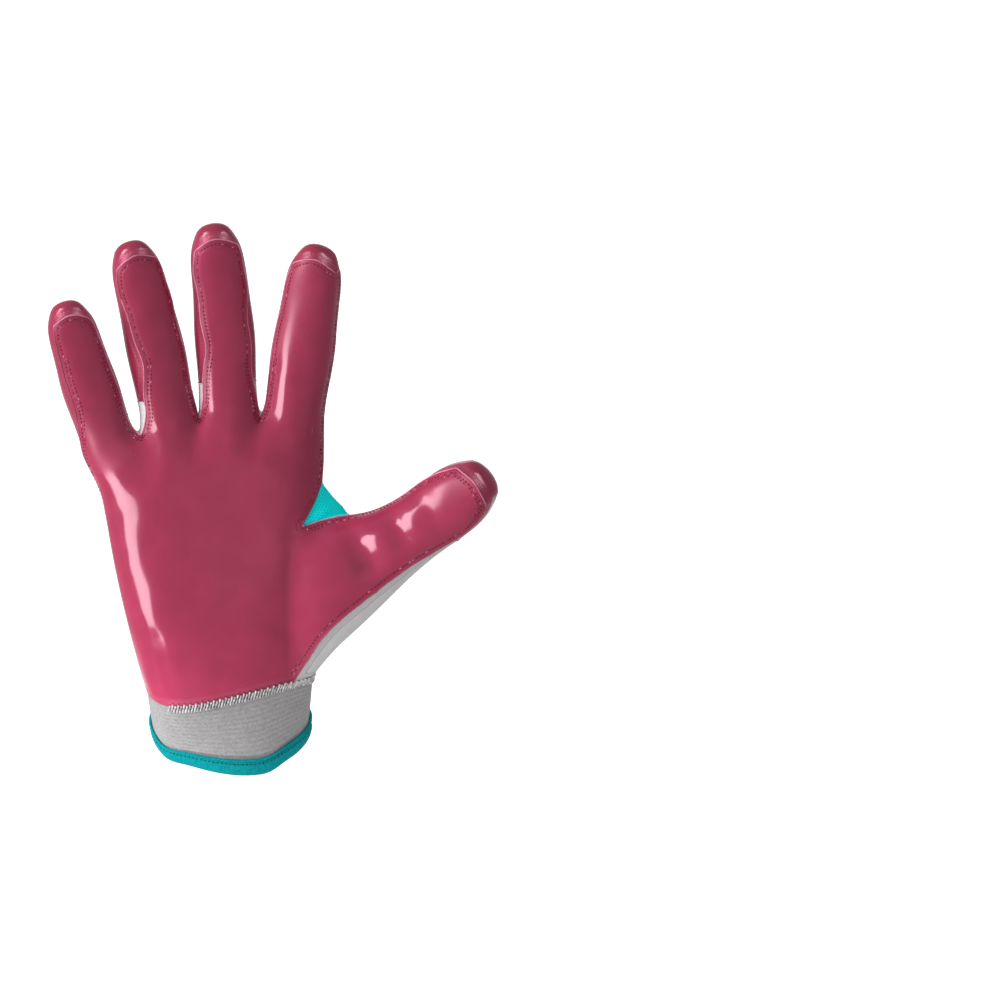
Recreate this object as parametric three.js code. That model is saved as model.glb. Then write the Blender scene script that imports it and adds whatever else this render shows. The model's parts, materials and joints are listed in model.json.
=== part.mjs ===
// A football receiver glove for the right hand, in the shape that it has when worn.
// Millimetres. +Z runs up the hand, the palm faces -Y and the thumb points to +X.
// The origin is the middle of the wrist opening.
//
// The glove is one surface of quads. Rows run up the palm and along each finger, and columns run round
// them. Each sewn panel is a set of those quads, given a wall and kept a seam's gap from its neighbours.

import * as THREE from "three";

// Palm and wrist
const PALM_LENGTH = 106; // wrist seam to the root of the middle finger
const KNUCKLE_WIDTH = 96; // across the palm at the finger roots
const KNUCKLE_DEPTH = 29;
const WRIST_WIDTH = 68;
const WRIST_DEPTH = 44;
const WRIST_TILT = 22; // degrees that the seam's ring leans, low side towards the palm
const TILT_FADE = 0.45; // share of the palm's length over which that lean fades
const SEAM_SLANT = 8; // how much further up the thumb side of the seam lies
const CROTCH_RISE = 0.58; // share of the palm's length at which the thumb parts from it
const WEB_FILL = 14; // how far the web between thumb and palm stands out of their corner
const PALM_SHIFT = 7.8; // how far the knuckles lie towards the little finger from the wrist's middle
const PALM_HOLLOW = 3; // the dent in the middle of the palm
const KNUCKLE_ARCH = 1.6; // how fast the rows fall to the sides, as a multiple of the outer fingers' drop

// Cuff. Its mouth's middle is the origin.
const CUFF_LENGTH = 26; // wrist seam to the cuff's edge, along the middle
const CUFF_NARROWING = 0.93; // the mouth's width as a share of the wrist's
const CUFF_DEPTH = 45;
const MOUTH_TILT = 37.5; // degrees that the mouth leans
const LIP_DROP = 3.2; // how far the mouth's lip hangs below a plain oval
const BINDING_HEIGHT = 7.4;

// The lip of the mouth on the palm side, from the little finger's side to the thumb's: shares of the drop
const MOUTH_LIP = [
  { at: -1, drop: 0.25 },
  { at: -0.85, drop: 0.7 },
  { at: -0.5, drop: 0.25 },
  { at: 0.33, drop: 1 },
  { at: 0.52, drop: 1 },
  { at: 0.75, drop: 0.1 },
  { at: 0.88, drop: -0.2 },
  { at: 1, drop: 0.1 },
];

// Walls of the cloths, and the gap that is left between two sewn edges
const SILICONE_WALL = 1.4;
const TIP_WALL = 1.2;
const KNIT_WALL = 1.0;
const CUFF_WALL = 1.6;
const BINDING_WALL = 1.0;
const PALM_LIFT = 0.4; // the palm panel lies this much proud of its neighbours
const SEAM_GAP = 0.3;

// Thumb
const THUMB_LENGTH = 95; // from inside the palm to the seam over the tip
const THUMB_WIDTH = 27;
const THUMB_DEPTH = 22;

// The middle finger, root to the seam over its tip
const FINGER_LENGTH = 77;
const FINGER_WIDTH = 24.7;
const FINGER_DEPTH = 18.5;

// Fingers. root and rise place the root from the wrist's middle, as shares of the palm's width and length.
// length, width and depth are shares of the middle finger's. leans are degrees towards the thumb, and
// curls are degrees towards the palm, at the root and at the tip. Seams are shares of the way from a
// side's middle to the front's middle. Swell is how much further in they run at the middle joint, and
// ripple is how far they wander.
const FINGERS = [
  {
    name: "little", root: -0.495, rise: 0.872, length: 0.8, width: 0.93, depth: 0.92,
    rootLean: -20, tipLean: -13, rootCurl: 6, tipCurl: 36, roll: -6,
    leftRoot: 0.05, leftSeam: 0.42, leftSwell: 0.02, rightSeam: 0.3, rightSwell: 0.02, ripple: 0.02,
  },
  {
    name: "ring", root: -0.245, rise: 0.945, length: 1, width: 0.96, depth: 0.975,
    rootLean: -10, tipLean: -13.3, rootCurl: 4, tipCurl: 35, roll: -10,
    leftRoot: 0.33, leftSeam: 0.33, leftSwell: 0.24, rightSeam: 0.26, rightSwell: 0.08, ripple: 0.06,
  },
  {
    name: "middle", root: -0.005, rise: 1, length: 1, width: 1, depth: 1,
    rootLean: -1, tipLean: -7, rootCurl: 4, tipCurl: 36, roll: -4,
    leftRoot: 0.32, leftSeam: 0.32, leftSwell: 0.2, rightSeam: 0.28, rightSwell: 0.16, ripple: 0.06,
  },
  {
    name: "index", root: 0.259, rise: 0.955, length: 0.955, width: 1.005, depth: 1,
    rootLean: 8, tipLean: 10.6, rootCurl: 4, tipCurl: 33, roll: 5,
    leftRoot: 0.3, leftSeam: 0.3, leftSwell: 0, rightSeam: -0.05, rightSwell: 0, ripple: 0.02,
  },
];
const ROOT_FADE = 0.3; // share of a finger over which its left seam leaves the root's place
const SWELL_END = 0.8; // share of a finger at which the swell of its seams ends
const RIPPLES = 3.3; // wanders of a seam along a finger
const CURL_POWER = 1.2; // above 1, a finger curls more towards its tip

// Sections along a finger, root to tip: shares of its length, width and depth, and how far its row is
// rounded.
const FINGER_SECTIONS = [
  { at: 0, width: 1.02, depth: 1.1, arch: 0 },
  { at: 0.08, width: 0.95, depth: 1.06, arch: 0 },
  { at: 0.17, width: 0.95, depth: 1.0, arch: 0 },
  { at: 0.27, width: 0.98, depth: 0.97, arch: 0 },
  { at: 0.37, width: 1.01, depth: 0.98, arch: 0 },
  { at: 0.47, width: 1.0, depth: 0.97, arch: 0 },
  { at: 0.57, width: 0.95, depth: 0.93, arch: 0 },
  { at: 0.67, width: 0.92, depth: 0.9, arch: 0.04 },
  { at: 0.77, width: 0.91, depth: 0.86, arch: 0.14 },
  { at: 0.86, width: 0.9, depth: 0.8, arch: 0.34 },
  { at: 0.94, width: 0.87, depth: 0.72, arch: 0.64 },
  { at: 1, width: 0.81, depth: 0.62, arch: 1 },
];

// Sections up the palm, wrist to knuckles. width and depth run from the wrist's (0) to the knuckles' (1),
// push moves the section towards the palm side as a share of the knuckles' depth, and hollow is a share of
// the dent.
const PALM_SECTIONS = [
  { at: 0, width: 0, depth: 0, push: 0, hollow: 0 },
  { at: 0.12, width: 0.15, depth: 0.1, push: 0.2, hollow: 0 },
  { at: 0.35, width: 0.38, depth: 0.42, push: 0.36, hollow: 0.7 },
  { at: 0.58, width: 0.57, depth: 0.68, push: 0.35, hollow: 1 },
  { at: 0.75, width: 0.68, depth: 0.95, push: 0.31, hollow: 0.8 },
  { at: 0.91, width: 0.75, depth: 1.2, push: 0.29, hollow: 0.3 },
  { at: 1, width: 0.84, depth: 1.4, push: 0.28, hollow: 0 },
];

// Seams up the palm, as for the fingers; below 0 the palm panel's edge lies on the back.
const PALM_SEAMS = [
  { at: 0, left: -0.2, right: 0.42, backLeft: 0.5, backRight: 0.5 },
  { at: 0.12, left: -0.22, right: 0.42, backLeft: 0.5, backRight: 0.5 },
  { at: 0.35, left: -0.25, right: 0.4, backLeft: 0.5, backRight: 0.44 },
  { at: 0.58, left: -0.24, right: 0.31, backLeft: 0.4, backRight: 0.28 },
  { at: 0.75, left: -0.14, right: 0.1, backLeft: 0.27, backRight: 0.22 },
  { at: 0.91, left: -0.04, right: 0, backLeft: 0.26, backRight: 0.24 },
  { at: 1, left: 0.05, right: 0, backLeft: 0.34, backRight: 0.3 },
];

// Sections along the thumb, palm to tip: shares of its length, width and depth, the degrees that the
// section is fanned from square to the thumb's axis, and its seams on the crotch side (left) and the outer
// side (right).
const THUMB_SECTIONS = [
  { at: 0.133, width: 1.84, depth: 1.5, fan: 24, arch: 0, leftSeam: 0.2, rightSeam: 0.5 },
  { at: 0.256, width: 1.59, depth: 1.36, fan: 20, arch: 0, leftSeam: 0.06, rightSeam: 0.5 },
  { at: 0.388, width: 1.3, depth: 1.2, fan: 16, arch: 0, leftSeam: 0.02, rightSeam: 0.48 },
  { at: 0.514, width: 1.08, depth: 1.06, fan: 11, arch: 0, leftSeam: 0.02, rightSeam: 0.44 },
  { at: 0.638, width: 0.99, depth: 0.98, fan: 6, arch: 0, leftSeam: 0.04, rightSeam: 0.36 },
  { at: 0.747, width: 1.02, depth: 0.94, fan: 3, arch: 0.1, leftSeam: 0.1, rightSeam: 0.26 },
  { at: 0.852, width: 1.03, depth: 0.88, fan: 1, arch: 0.3, leftSeam: 0.22, rightSeam: 0.24 },
  { at: 0.943, width: 0.96, depth: 0.78, fan: 0, arch: 0.65, leftSeam: 0.3, rightSeam: 0.28 },
  { at: 1, width: 0.79, depth: 0.66, fan: 0, arch: 1, leftSeam: 0.32, rightSeam: 0.32 },
];
// The thumb's root, as shares of the knuckles' width and depth and the palm's length, and its leans and
// curls
const THUMB_ROOT = { across: 0.289, push: 0.36, rise: 0.274 };
const THUMB_BEND = { rootLean: 59.5, tipLean: 51, rootCurl: 8, tipCurl: 32 };
const THUMB_CURL_POWER = 1.5;

// The web between thumb and palm, strip by strip from the palm's side over the crotch to the thumb: how
// far its front edge and its middle stand out, as shares of the fill, and the degrees above level that the
// middle moves.
const WEB_STRIPS = [
  { edge: 0, middle: 0.5, rise: 45 },
  { edge: 0, middle: 1.1, rise: 57 },
  { edge: 0.3, middle: 0.92, rise: 30 },
  { edge: 0.18, middle: 0.22, rise: 36 },
];
const WEB_EDGE_RISE = 66; // degrees above level that the front edge moves
const WEB_WAVE = 0.8; // share of a half wave that the middle's swell spans from front to back

const TIP_BULGE = 2.6; // how far the wall over a fingertip stands beyond its seams
const TIP_FAN = 50; // degrees that this wall's strips lean out at both sides
// How far a tip's last row is rounded, as shares of its half width, at the front and at the back, and how
// much narrower the tip's back is than its front
const FINGER_TIP = { frontArch: 0.85, backArch: 0.3, narrowing: 0.16 };
const THUMB_TIP = { frontArch: 0.52, backArch: 0.29, narrowing: 0 };
const BACK_SEAM = 0.42; // the back panel's edge on a finger, on the same scale as the front seams
const OVAL_POWER = 2.5; // 2 is an ellipse, and more is squarer
const MOUTH_POWER = 1.95;
const FRONT_FADE = 1.6; // how fast the lip and the seam's slant set in from the sides to the front
const MOST_MITRE = 0.25; // keeps the seam gap narrow at the sharpest corners

// The grid: segments of each finger's front, of a side wall, of the palm's rows and of the cuff
const FRONT_SEGMENTS = 6;
const SIDE_SEGMENTS = 4;
const PALM_ROWS = 11;
const THUMB_ROWS = 7; // palm rows that open into the thumb
const CUFF_ROWS = 3;
const OUTER_WALL_ROWS = 2; // palm rows that the little finger's outer wall runs down
const WEB_ROWS = 2; // rows of the thumb's web above its notch
const GUSSET_STATIONS = 2; // finger stations that a crotch gusset climbs
const WEB_STATIONS = 3; // thumb stations that the web's mesh climbs
const SIDE_STATIONS = 6; // thumb stations that its outer gusset climbs
const QUARTER_STEPS = 24; // points on a quarter of an oval
const AXIS_STEPS = 100; // steps along a finger's bent axis

// The cloths, and how far each one's face stands out from the seam's line
const CLOTHS = {
  silicone: { wall: SILICONE_WALL, lift: PALM_LIFT, colour: 0x98385a, roughness: 0.25 },
  strip: { wall: TIP_WALL, lift: 0, colour: 0x98385a, roughness: 0.25 },
  backKnit: { wall: KNIT_WALL, lift: 0, colour: 0xd2ced0, roughness: 0.8 },
  greyKnit: { wall: KNIT_WALL, lift: 0, colour: 0xb9b6b8, roughness: 0.8 },
  mesh: { wall: KNIT_WALL, lift: 0, colour: 0x1fc4c9, roughness: 0.7 },
  cuffKnit: { wall: CUFF_WALL, lift: 0, colour: 0xb9b6b8, roughness: 0.85 },
  tape: { colour: 0x12a3a9, roughness: 0.6 },
};

const { lerp, degToRad, clamp, smoothstep } = THREE.MathUtils;
const vector = (x, y, z) => new THREE.Vector3(x, y, z);

// The value of one column of a table at a place between its rows, on a smooth curve through them.
function column(table, key, at) {
  const last = table.length - 2;
  let i = table.findIndex((row, n) => n === last || table[n + 1].at >= at);
  i = Math.max(0, i);
  const [a, b] = [table[i], table[i + 1]];
  const slope = (n) => {
    const [low, high] = [table[Math.max(0, n - 1)], table[Math.min(last + 1, n + 1)]];
    return (high[key] - low[key]) / (high.at - low.at);
  };
  const span = b.at - a.at;
  const t = clamp((at - a.at) / span, 0, 1);
  const t2 = t * t;
  const t3 = t2 * t;
  return (
    (2 * t3 - 3 * t2 + 1) * a[key] +
    (t3 - 2 * t2 + t) * span * slope(i) +
    (3 * t2 - 2 * t3) * b[key] +
    (t3 - t2) * span * slope(i + 1)
  );
}

// An oval cross-section. point(q) goes round it: q is 0 at the left side, 1 at the front, 2 at the right
// and 3 at the back.
class Section {
  constructor({ centre, side, front, halfWidth, frontDepth, backDepth, lift, power = OVAL_POWER }) {
    Object.assign(this, { centre, side, front, halfWidth, lift });
    this.quarters = [frontDepth, backDepth].map((depth) => {
      const points = [];
      for (let i = 0; i <= QUARTER_STEPS; i++) {
        const angle = (Math.PI / 2) * (i / QUARTER_STEPS);
        const x = halfWidth * Math.max(0, Math.cos(angle)) ** (2 / power);
        const y = depth * Math.sin(angle) ** (2 / power);
        points.push(new THREE.Vector2(x, y));
      }
      return new THREE.SplineCurve(points);
    });
  }

  // Across (-1 to 1) and out from the side-to-side line, at a quarter count q.
  flat(q) {
    const turn = ((q % 4) + 4) % 4;
    const isBack = turn > 2;
    const quarter = Math.floor(turn);
    const share = quarter % 2 === 0 ? turn - quarter : 1 - (turn - quarter);
    const p = this.quarters[isBack ? 1 : 0].getPointAt(clamp(share, 0, 1));
    const isRight = quarter === 1 || quarter === 2;
    return { across: (isRight ? p.x : -p.x) / this.halfWidth, out: isBack ? -p.y : p.y };
  }

  point(q) {
    const { across, out } = this.flat(q);
    const p = this.centre
      .clone()
      .addScaledVector(this.side, across * this.halfWidth)
      .addScaledVector(this.front, out);
    return this.lift ? this.lift(p, across, out) : p;
  }
}

// Directions of a limb that leans in the hand's plane, curls towards the palm and rolls on its axis.
function limbFrame(lean, curl, roll) {
  const [l, c, r] = [lean, curl, roll].map(degToRad);
  const axis = vector(Math.sin(l) * Math.cos(c), -Math.sin(c), Math.cos(l) * Math.cos(c));
  const side = vector(Math.cos(l), 0, -Math.sin(l)).applyAxisAngle(axis, -r);
  return { axis, side, front: side.clone().cross(axis).normalize() };
}

// The whole surface: points, and quads that each belong to a panel.
const points = [];
const quads = [];
const add = (p) => points.push(p) - 1;
const at = (id) => points[id];

function grid(panelOf, rows, columns, idOf, isTurned) {
  for (let r = 0; r < rows; r++) {
    for (let c = 0; c < columns; c++) {
      const ids = [idOf(r, c), idOf(r, c + 1), idOf(r + 1, c + 1), idOf(r + 1, c)];
      quads.push({ panel: panelOf(r, c), ids: isTurned ? ids.reverse() : ids });
    }
  }
}

// Wrist and palm sections
const cuffTilt = degToRad((WRIST_TILT + MOUTH_TILT) / 2);
const seamCentre = vector(0, -CUFF_LENGTH * Math.sin(cuffTilt), CUFF_LENGTH * Math.cos(cuffTilt));

function ringSection(centre, width, depth, tilt, slant, lip, power) {
  const t = degToRad(tilt);
  return new Section({
    centre,
    side: vector(1, 0, 0),
    front: vector(0, -Math.cos(t), -Math.sin(t)),
    halfWidth: width / 2,
    frontDepth: depth / 2,
    backDepth: depth / 2,
    power,
    lift: (p, across, out) => {
      const frontShare = clamp((FRONT_FADE * 2 * out) / depth, 0, 1);
      p.z += (slant * across - lip * LIP_DROP * column(MOUTH_LIP, "drop", across)) * frontShare;
      return p;
    },
  });
}

function knuckleArch(across) {
  const outermost = across < 0 ? FINGERS[0] : FINGERS[FINGERS.length - 1];
  const slope = outermost.rise - 1;
  return slope * PALM_LENGTH * KNUCKLE_ARCH * across ** 2;
}

function palmSection(t) {
  const row = (key) => column(PALM_SECTIONS, key, t);
  const tilt = degToRad(lerp(WRIST_TILT, 0, Math.min(1, t / TILT_FADE)));
  const depth = lerp(WRIST_DEPTH, KNUCKLE_DEPTH, row("depth")) / 2;
  const centre = seamCentre
    .clone()
    .add(vector(-t * PALM_SHIFT, -row("push") * KNUCKLE_DEPTH, t * PALM_LENGTH));
  return new Section({
    centre,
    side: vector(1, 0, 0),
    front: vector(0, -Math.cos(tilt), -Math.sin(tilt)),
    halfWidth: lerp(WRIST_WIDTH, KNUCKLE_WIDTH, row("width")) / 2,
    frontDepth: depth,
    backDepth: depth,
    lift: (p, across, out) => {
      const frontShare = clamp(out / depth, 0, 1);
      p.y += row("hollow") * PALM_HOLLOW * frontShare * (1 - across ** 2) ** 2;
      p.z += (1 - t) * SEAM_SLANT * across * frontShare + t * knuckleArch(across);
      return p;
    },
  });
}

// Finger sections, root to tip, with the seams' places on each.
function fingerStations(f) {
  const knucklePush = column(PALM_SECTIONS, "push", 1);
  const offset = vector(f.root * KNUCKLE_WIDTH, -knucklePush * KNUCKLE_DEPTH, f.rise * PALM_LENGTH);
  const root = seamCentre.clone().add(offset);
  const [length, width, depth] = [f.length * FINGER_LENGTH, f.width * FINGER_WIDTH, f.depth * FINGER_DEPTH];
  return limbStations(FINGER_SECTIONS, root, { length, width, depth, ...FINGER_TIP }, (s) => {
    const swell = Math.sin(Math.PI * clamp(s / SWELL_END, 0, 1)) ** 2;
    const ripple = f.ripple * Math.sin(2 * Math.PI * RIPPLES * s) * clamp(4 * (1 - s), 0, 1);
    return {
      lean: lerp(f.rootLean, f.tipLean, s),
      curl: lerp(f.rootCurl, f.tipCurl, s ** CURL_POWER),
      roll: f.roll,
      left: lerp(f.leftRoot, f.leftSeam, smoothstep(s, 0, ROOT_FADE)) + f.leftSwell * swell + ripple,
      right: f.rightSeam + f.rightSwell * swell - ripple,
    };
  });
}

function thumbStations() {
  const { across, push, rise } = THUMB_ROOT;
  const offset = vector(across * KNUCKLE_WIDTH, -push * KNUCKLE_DEPTH, rise * PALM_LENGTH);
  const root = seamCentre.clone().add(offset);
  const sizes = { length: THUMB_LENGTH, width: THUMB_WIDTH, depth: THUMB_DEPTH, ...THUMB_TIP };
  return limbStations(THUMB_SECTIONS, root, sizes, (s) => ({
    lean: lerp(THUMB_BEND.rootLean, THUMB_BEND.tipLean, s),
    curl: lerp(THUMB_BEND.rootCurl, THUMB_BEND.tipCurl, s ** THUMB_CURL_POWER),
    roll: 0,
    left: column(THUMB_SECTIONS, "leftSeam", s),
    right: column(THUMB_SECTIONS, "rightSeam", s),
    fan: column(THUMB_SECTIONS, "fan", s),
  }));
}

function limbStations(table, root, sizes, shapeAt) {
  const { length, width, depth, frontArch, backArch, narrowing } = sizes;
  const stations = [];
  const centre = root.clone();
  let walked = 0;
  for (const row of table) {
    const target = Math.round(row.at * AXIS_STEPS);
    for (; walked < target; walked++) {
      const shape = shapeAt(walked / AXIS_STEPS);
      centre.addScaledVector(limbFrame(shape.lean, shape.curl, 0).axis, length / AXIS_STEPS);
    }
    const shape = shapeAt(row.at);
    const frame = limbFrame(shape.lean + (shape.fan ?? 0), shape.curl, shape.roll);
    const halfWidth = (row.width * width) / 2;
    const round = row.arch * halfWidth;
    const section = new Section({
      centre: centre.clone(),
      side: frame.side,
      front: frame.front,
      halfWidth,
      frontDepth: (row.depth * depth) / 2,
      backDepth: (row.depth * depth) / 2,
      lift: (p, across, out) => {
        const backShare = clamp(0.5 - out / (row.depth * depth), 0, 1);
        return p
          .addScaledVector(frame.axis, -round * lerp(frontArch, backArch, backShare) * across ** 2)
          .addScaledVector(frame.side, -round * narrowing * backShare * across);
      },
    });
    stations.push({ section, axis: frame.axis, left: shape.left, right: shape.right });
  }
  return stations;
}

// Points round one station: the front's columns, the back's columns and each side wall from front to back.
const across = (a, b, segments) => Array.from({ length: segments + 1 }, (_, i) => lerp(a, b, i / segments));

function stationPoints({ section, left, right }, segments, backLeft = BACK_SEAM, backRight = BACK_SEAM) {
  const pick = (a, b, n) => across(a, b, n).map((q) => section.point(q));
  return {
    front: pick(left, 2 - right, segments),
    back: pick(4 - backLeft, 2 + backRight, segments),
    leftWall: pick(left, -backLeft, SIDE_SEGMENTS),
    rightWall: pick(2 - right, 2 + backRight, SIDE_SEGMENTS),
  };
}

// A side wall's ids: it shares its first and last point with the front and the back.
const wallIds = (side, first, last) => {
  const inner = side.slice(1, -1).map(add);
  return [first, ...inner, last];
};

// Joins a limb's stations: ids of front and back columns, of the side walls, and of the wall over the tip.
function buildLimb(stations, first, segments) {
  const rows = [first];
  for (const station of stations) {
    const p = stationPoints(station, segments);
    const front = p.front.map(add);
    const back = p.back.map(add);
    rows.push({
      front,
      back,
      leftWall: wallIds(p.leftWall, front[0], back[0]),
      rightWall: wallIds(p.rightWall, front[segments], back[segments]),
    });
  }
  const top = rows[rows.length - 1];
  const { axis, section } = stations[stations.length - 1];
  const tip = top.front.map((id, i) => {
    if (i === 0) return top.leftWall;
    if (i === segments) return top.rightWall;
    const tilt = degToRad(lerp(-TIP_FAN, TIP_FAN, i / segments));
    const out = axis.clone().multiplyScalar(Math.cos(tilt)).addScaledVector(section.side, Math.sin(tilt));
    return across(0, 1, SIDE_SEGMENTS).map((v, m) => {
      if (m === 0) return id;
      if (m === SIDE_SEGMENTS) return top.back[i];
      const bulge = TIP_BULGE * Math.sqrt(4 * v * (1 - v));
      return add(at(id).clone().lerp(at(top.back[i]), v).addScaledVector(out, bulge));
    });
  });
  return { rows, tip };
}

function limbQuads({ rows, tip }, segments, panels) {
  const count = rows.length - 1;
  grid(() => "palm_panel", count, segments, (r, c) => rows[r].front[c]);
  grid(() => "back_panel", count, segments, (r, c) => rows[r].back[c], true);
  grid(panels.left, count, SIDE_SEGMENTS, (r, m) => rows[r].leftWall[m], true);
  grid(panels.right, count, SIDE_SEGMENTS, (r, m) => rows[r].rightWall[m]);
  grid(() => panels.tip, segments, SIDE_SEGMENTS, (i, m) => tip[i][m], true);
}

// Finger roots: each root shares its crotch points with the next finger's.
const fingers = FINGERS.map((f) => ({ ...f, stations: fingerStations(f) }));
const rootPoints = fingers.map((f) => stationPoints(f.stations[0], FRONT_SEGMENTS));
const crotches = fingers.slice(1).map((_, n) =>
  rootPoints[n].rightWall.map((p, m) => add(p.clone().lerp(rootPoints[n + 1].leftWall[m], 0.5))),
);
const knuckleRow = fingers.map((f, n) => {
  const p = rootPoints[n];
  const [leftCrotch, rightCrotch] = [crotches[n - 1], crotches[n]];
  const ids = (list, leftEnd, rightEnd) =>
    list.map((q, i) => {
      if (i === 0 && leftCrotch) return leftEnd;
      if (i === FRONT_SEGMENTS && rightCrotch) return rightEnd;
      return add(q);
    });
  const front = ids(p.front, leftCrotch?.[0], rightCrotch?.[0]);
  const back = ids(p.back, leftCrotch?.[SIDE_SEGMENTS], rightCrotch?.[SIDE_SEGMENTS]);
  return {
    front,
    back,
    leftWall: leftCrotch ?? wallIds(p.leftWall, front[0], back[0]),
    rightWall: rightCrotch ?? wallIds(p.rightWall, front[FRONT_SEGMENTS], back[FRONT_SEGMENTS]),
  };
});

// Palm rows below the knuckles
const COLUMNS = FRONT_SEGMENTS * fingers.length;
const fullRow = (key) =>
  knuckleRow.flatMap((k, n) => (n === 0 ? k[key] : k[key].slice(1)));
const palmRows = [];
const sharesOf = (ids) => {
  const lengths = ids.slice(1).map((id, i) => at(id).distanceTo(at(ids[i])));
  const total = lengths.reduce((sum, l) => sum + l, 0);
  let walked = 0;
  return [0, ...lengths.map((l) => (walked += l) / total)];
};
const knuckleShares = { front: sharesOf(fullRow("front")), back: sharesOf(fullRow("back")) };

for (let r = 0; r < PALM_ROWS; r++) {
  const t =
    r < THUMB_ROWS
      ? (CROTCH_RISE * r) / THUMB_ROWS
      : lerp(CROTCH_RISE, 1, (r - THUMB_ROWS) / (PALM_ROWS - THUMB_ROWS));
  const section = palmSection(t);
  const seam = (key) => column(PALM_SEAMS, key, t);
  const spread = (a, b, shares) =>
    shares.map((share, c) => section.point(lerp(a, b, lerp(c / COLUMNS, share, t))));
  const front = spread(seam("left"), 2 - seam("right"), knuckleShares.front).map(add);
  const back = spread(4 - seam("backLeft"), 2 + seam("backRight"), knuckleShares.back).map(add);
  const wall = (a, b, first, last) =>
    wallIds(across(a, b, SIDE_SEGMENTS).map((q) => section.point(q)), first, last);
  palmRows.push({
    front,
    back,
    leftWall: wall(seam("left"), -seam("backLeft"), front[0], back[0]),
    rightWall:
      r === 0 || r >= THUMB_ROWS
        ? wall(2 - seam("right"), 2 + seam("backRight"), front[COLUMNS], back[COLUMNS])
        : null,
  });
}
palmRows.push({
  front: fullRow("front"),
  back: fullRow("back"),
  leftWall: knuckleRow[0].leftWall,
  rightWall: knuckleRow[fingers.length - 1].rightWall,
});

// The thumb's first row is the palm's edge, read from the crotch down to the wrist.
const thumb = thumbStations();
const edge = (key) => palmRows.slice(0, THUMB_ROWS + 1).map((row) => row[key][COLUMNS]).reverse();
const thumbRoot = {
  front: edge("front"),
  back: edge("back"),
  leftWall: palmRows[THUMB_ROWS].rightWall,
  rightWall: palmRows[0].rightWall,
};
const thumbLimb = buildLimb(thumb, thumbRoot, THUMB_ROWS);

// The web fills the corner of thumb and palm, most in its middle and less towards the back seam.
const facing = (rise) => vector(Math.cos(degToRad(rise)), 0, Math.sin(degToRad(rise)));
const webWalls = [palmRows[THUMB_ROWS + 1].rightWall, ...thumbLimb.rows.map((row) => row.leftWall)];
WEB_STRIPS.forEach(({ edge, middle, rise }, n) => {
  webWalls[n].forEach((id, m) => {
    const v = m / SIDE_SEGMENTS;
    at(id).addScaledVector(facing(WEB_EDGE_RISE), WEB_FILL * edge * (1 - v));
    at(id).addScaledVector(facing(rise), WEB_FILL * middle * Math.sin(WEB_WAVE * Math.PI * v));
  });
});

// Quads of the palm and the back, and of the sides that no finger has
grid(() => "palm_panel", PALM_ROWS, COLUMNS, (r, c) => palmRows[r].front[c]);
grid(() => "back_panel", PALM_ROWS, COLUMNS, (r, c) => palmRows[r].back[c], true);
grid(
  (r) => (r < PALM_ROWS - OUTER_WALL_ROWS ? "back_panel" : FINGERS[0].name + "_tip_wall"),
  PALM_ROWS,
  SIDE_SEGMENTS,
  (r, m) => palmRows[r].leftWall[m],
  true,
);
grid(
  (r) => (r < WEB_ROWS ? "thumb_gusset" : FINGERS[fingers.length - 1].name + "_tip_wall"),
  PALM_ROWS - THUMB_ROWS,
  SIDE_SEGMENTS,
  (r, m) => palmRows[THUMB_ROWS + r].rightWall[m],
);

// Quads of the limbs
fingers.forEach((f, n) => {
  const limb = buildLimb(f.stations.slice(1), knuckleRow[n], FRONT_SEGMENTS);
  const tip = f.name + "_tip_wall";
  const gusset = (n1) => fingers[n1].name + "_" + fingers[n1 + 1].name + "_gusset";
  limbQuads(limb, FRONT_SEGMENTS, {
    tip,
    left: (r) => (n > 0 && r < GUSSET_STATIONS ? gusset(n - 1) : tip),
    right: (r) => (n < fingers.length - 1 && r < GUSSET_STATIONS ? gusset(n) : tip),
  });
});
limbQuads(thumbLimb, THUMB_ROWS, {
  tip: "thumb_tip_wall",
  left: (r) => (r < WEB_STATIONS ? "thumb_gusset" : "thumb_tip_wall"),
  right: (r) => (r < SIDE_STATIONS ? "thumb_side_gusset" : "thumb_tip_wall"),
});

// Cuff: rings of points below the wrist seam, in step with the seam's own points
const seamRing = [
  ...palmRows[0].front,
  ...palmRows[0].rightWall.slice(1, -1),
  ...[...palmRows[0].back].reverse(),
  ...palmRows[0].leftWall.slice(1, -1).reverse(),
];
const wristSeams = PALM_SEAMS[0];
const ringQuarters = [
  ...across(wristSeams.left, 2 - wristSeams.right, COLUMNS),
  ...across(2 - wristSeams.right, 2 + wristSeams.backRight, SIDE_SEGMENTS).slice(1, -1),
  ...across(2 + wristSeams.backRight, 4 - wristSeams.backLeft, COLUMNS),
  ...across(4 - wristSeams.backLeft, 4 + wristSeams.left, SIDE_SEGMENTS).slice(1, -1),
];
const cuffRings = [seamRing];
for (let r = 1; r <= CUFF_ROWS; r++) {
  const t = r / CUFF_ROWS;
  const section = ringSection(
    seamCentre.clone().multiplyScalar(1 - t),
    WRIST_WIDTH * lerp(1, CUFF_NARROWING, t),
    lerp(WRIST_DEPTH, CUFF_DEPTH, t),
    lerp(WRIST_TILT, MOUTH_TILT, t),
    lerp(SEAM_SLANT, 0, t),
    t,
    lerp(OVAL_POWER, MOUTH_POWER, t),
  );
  cuffRings.push(ringQuarters.map((q) => add(section.point(q))));
}
grid(() => "cuff", CUFF_ROWS, seamRing.length, (r, c) => cuffRings[r][c % seamRing.length], true);

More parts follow.
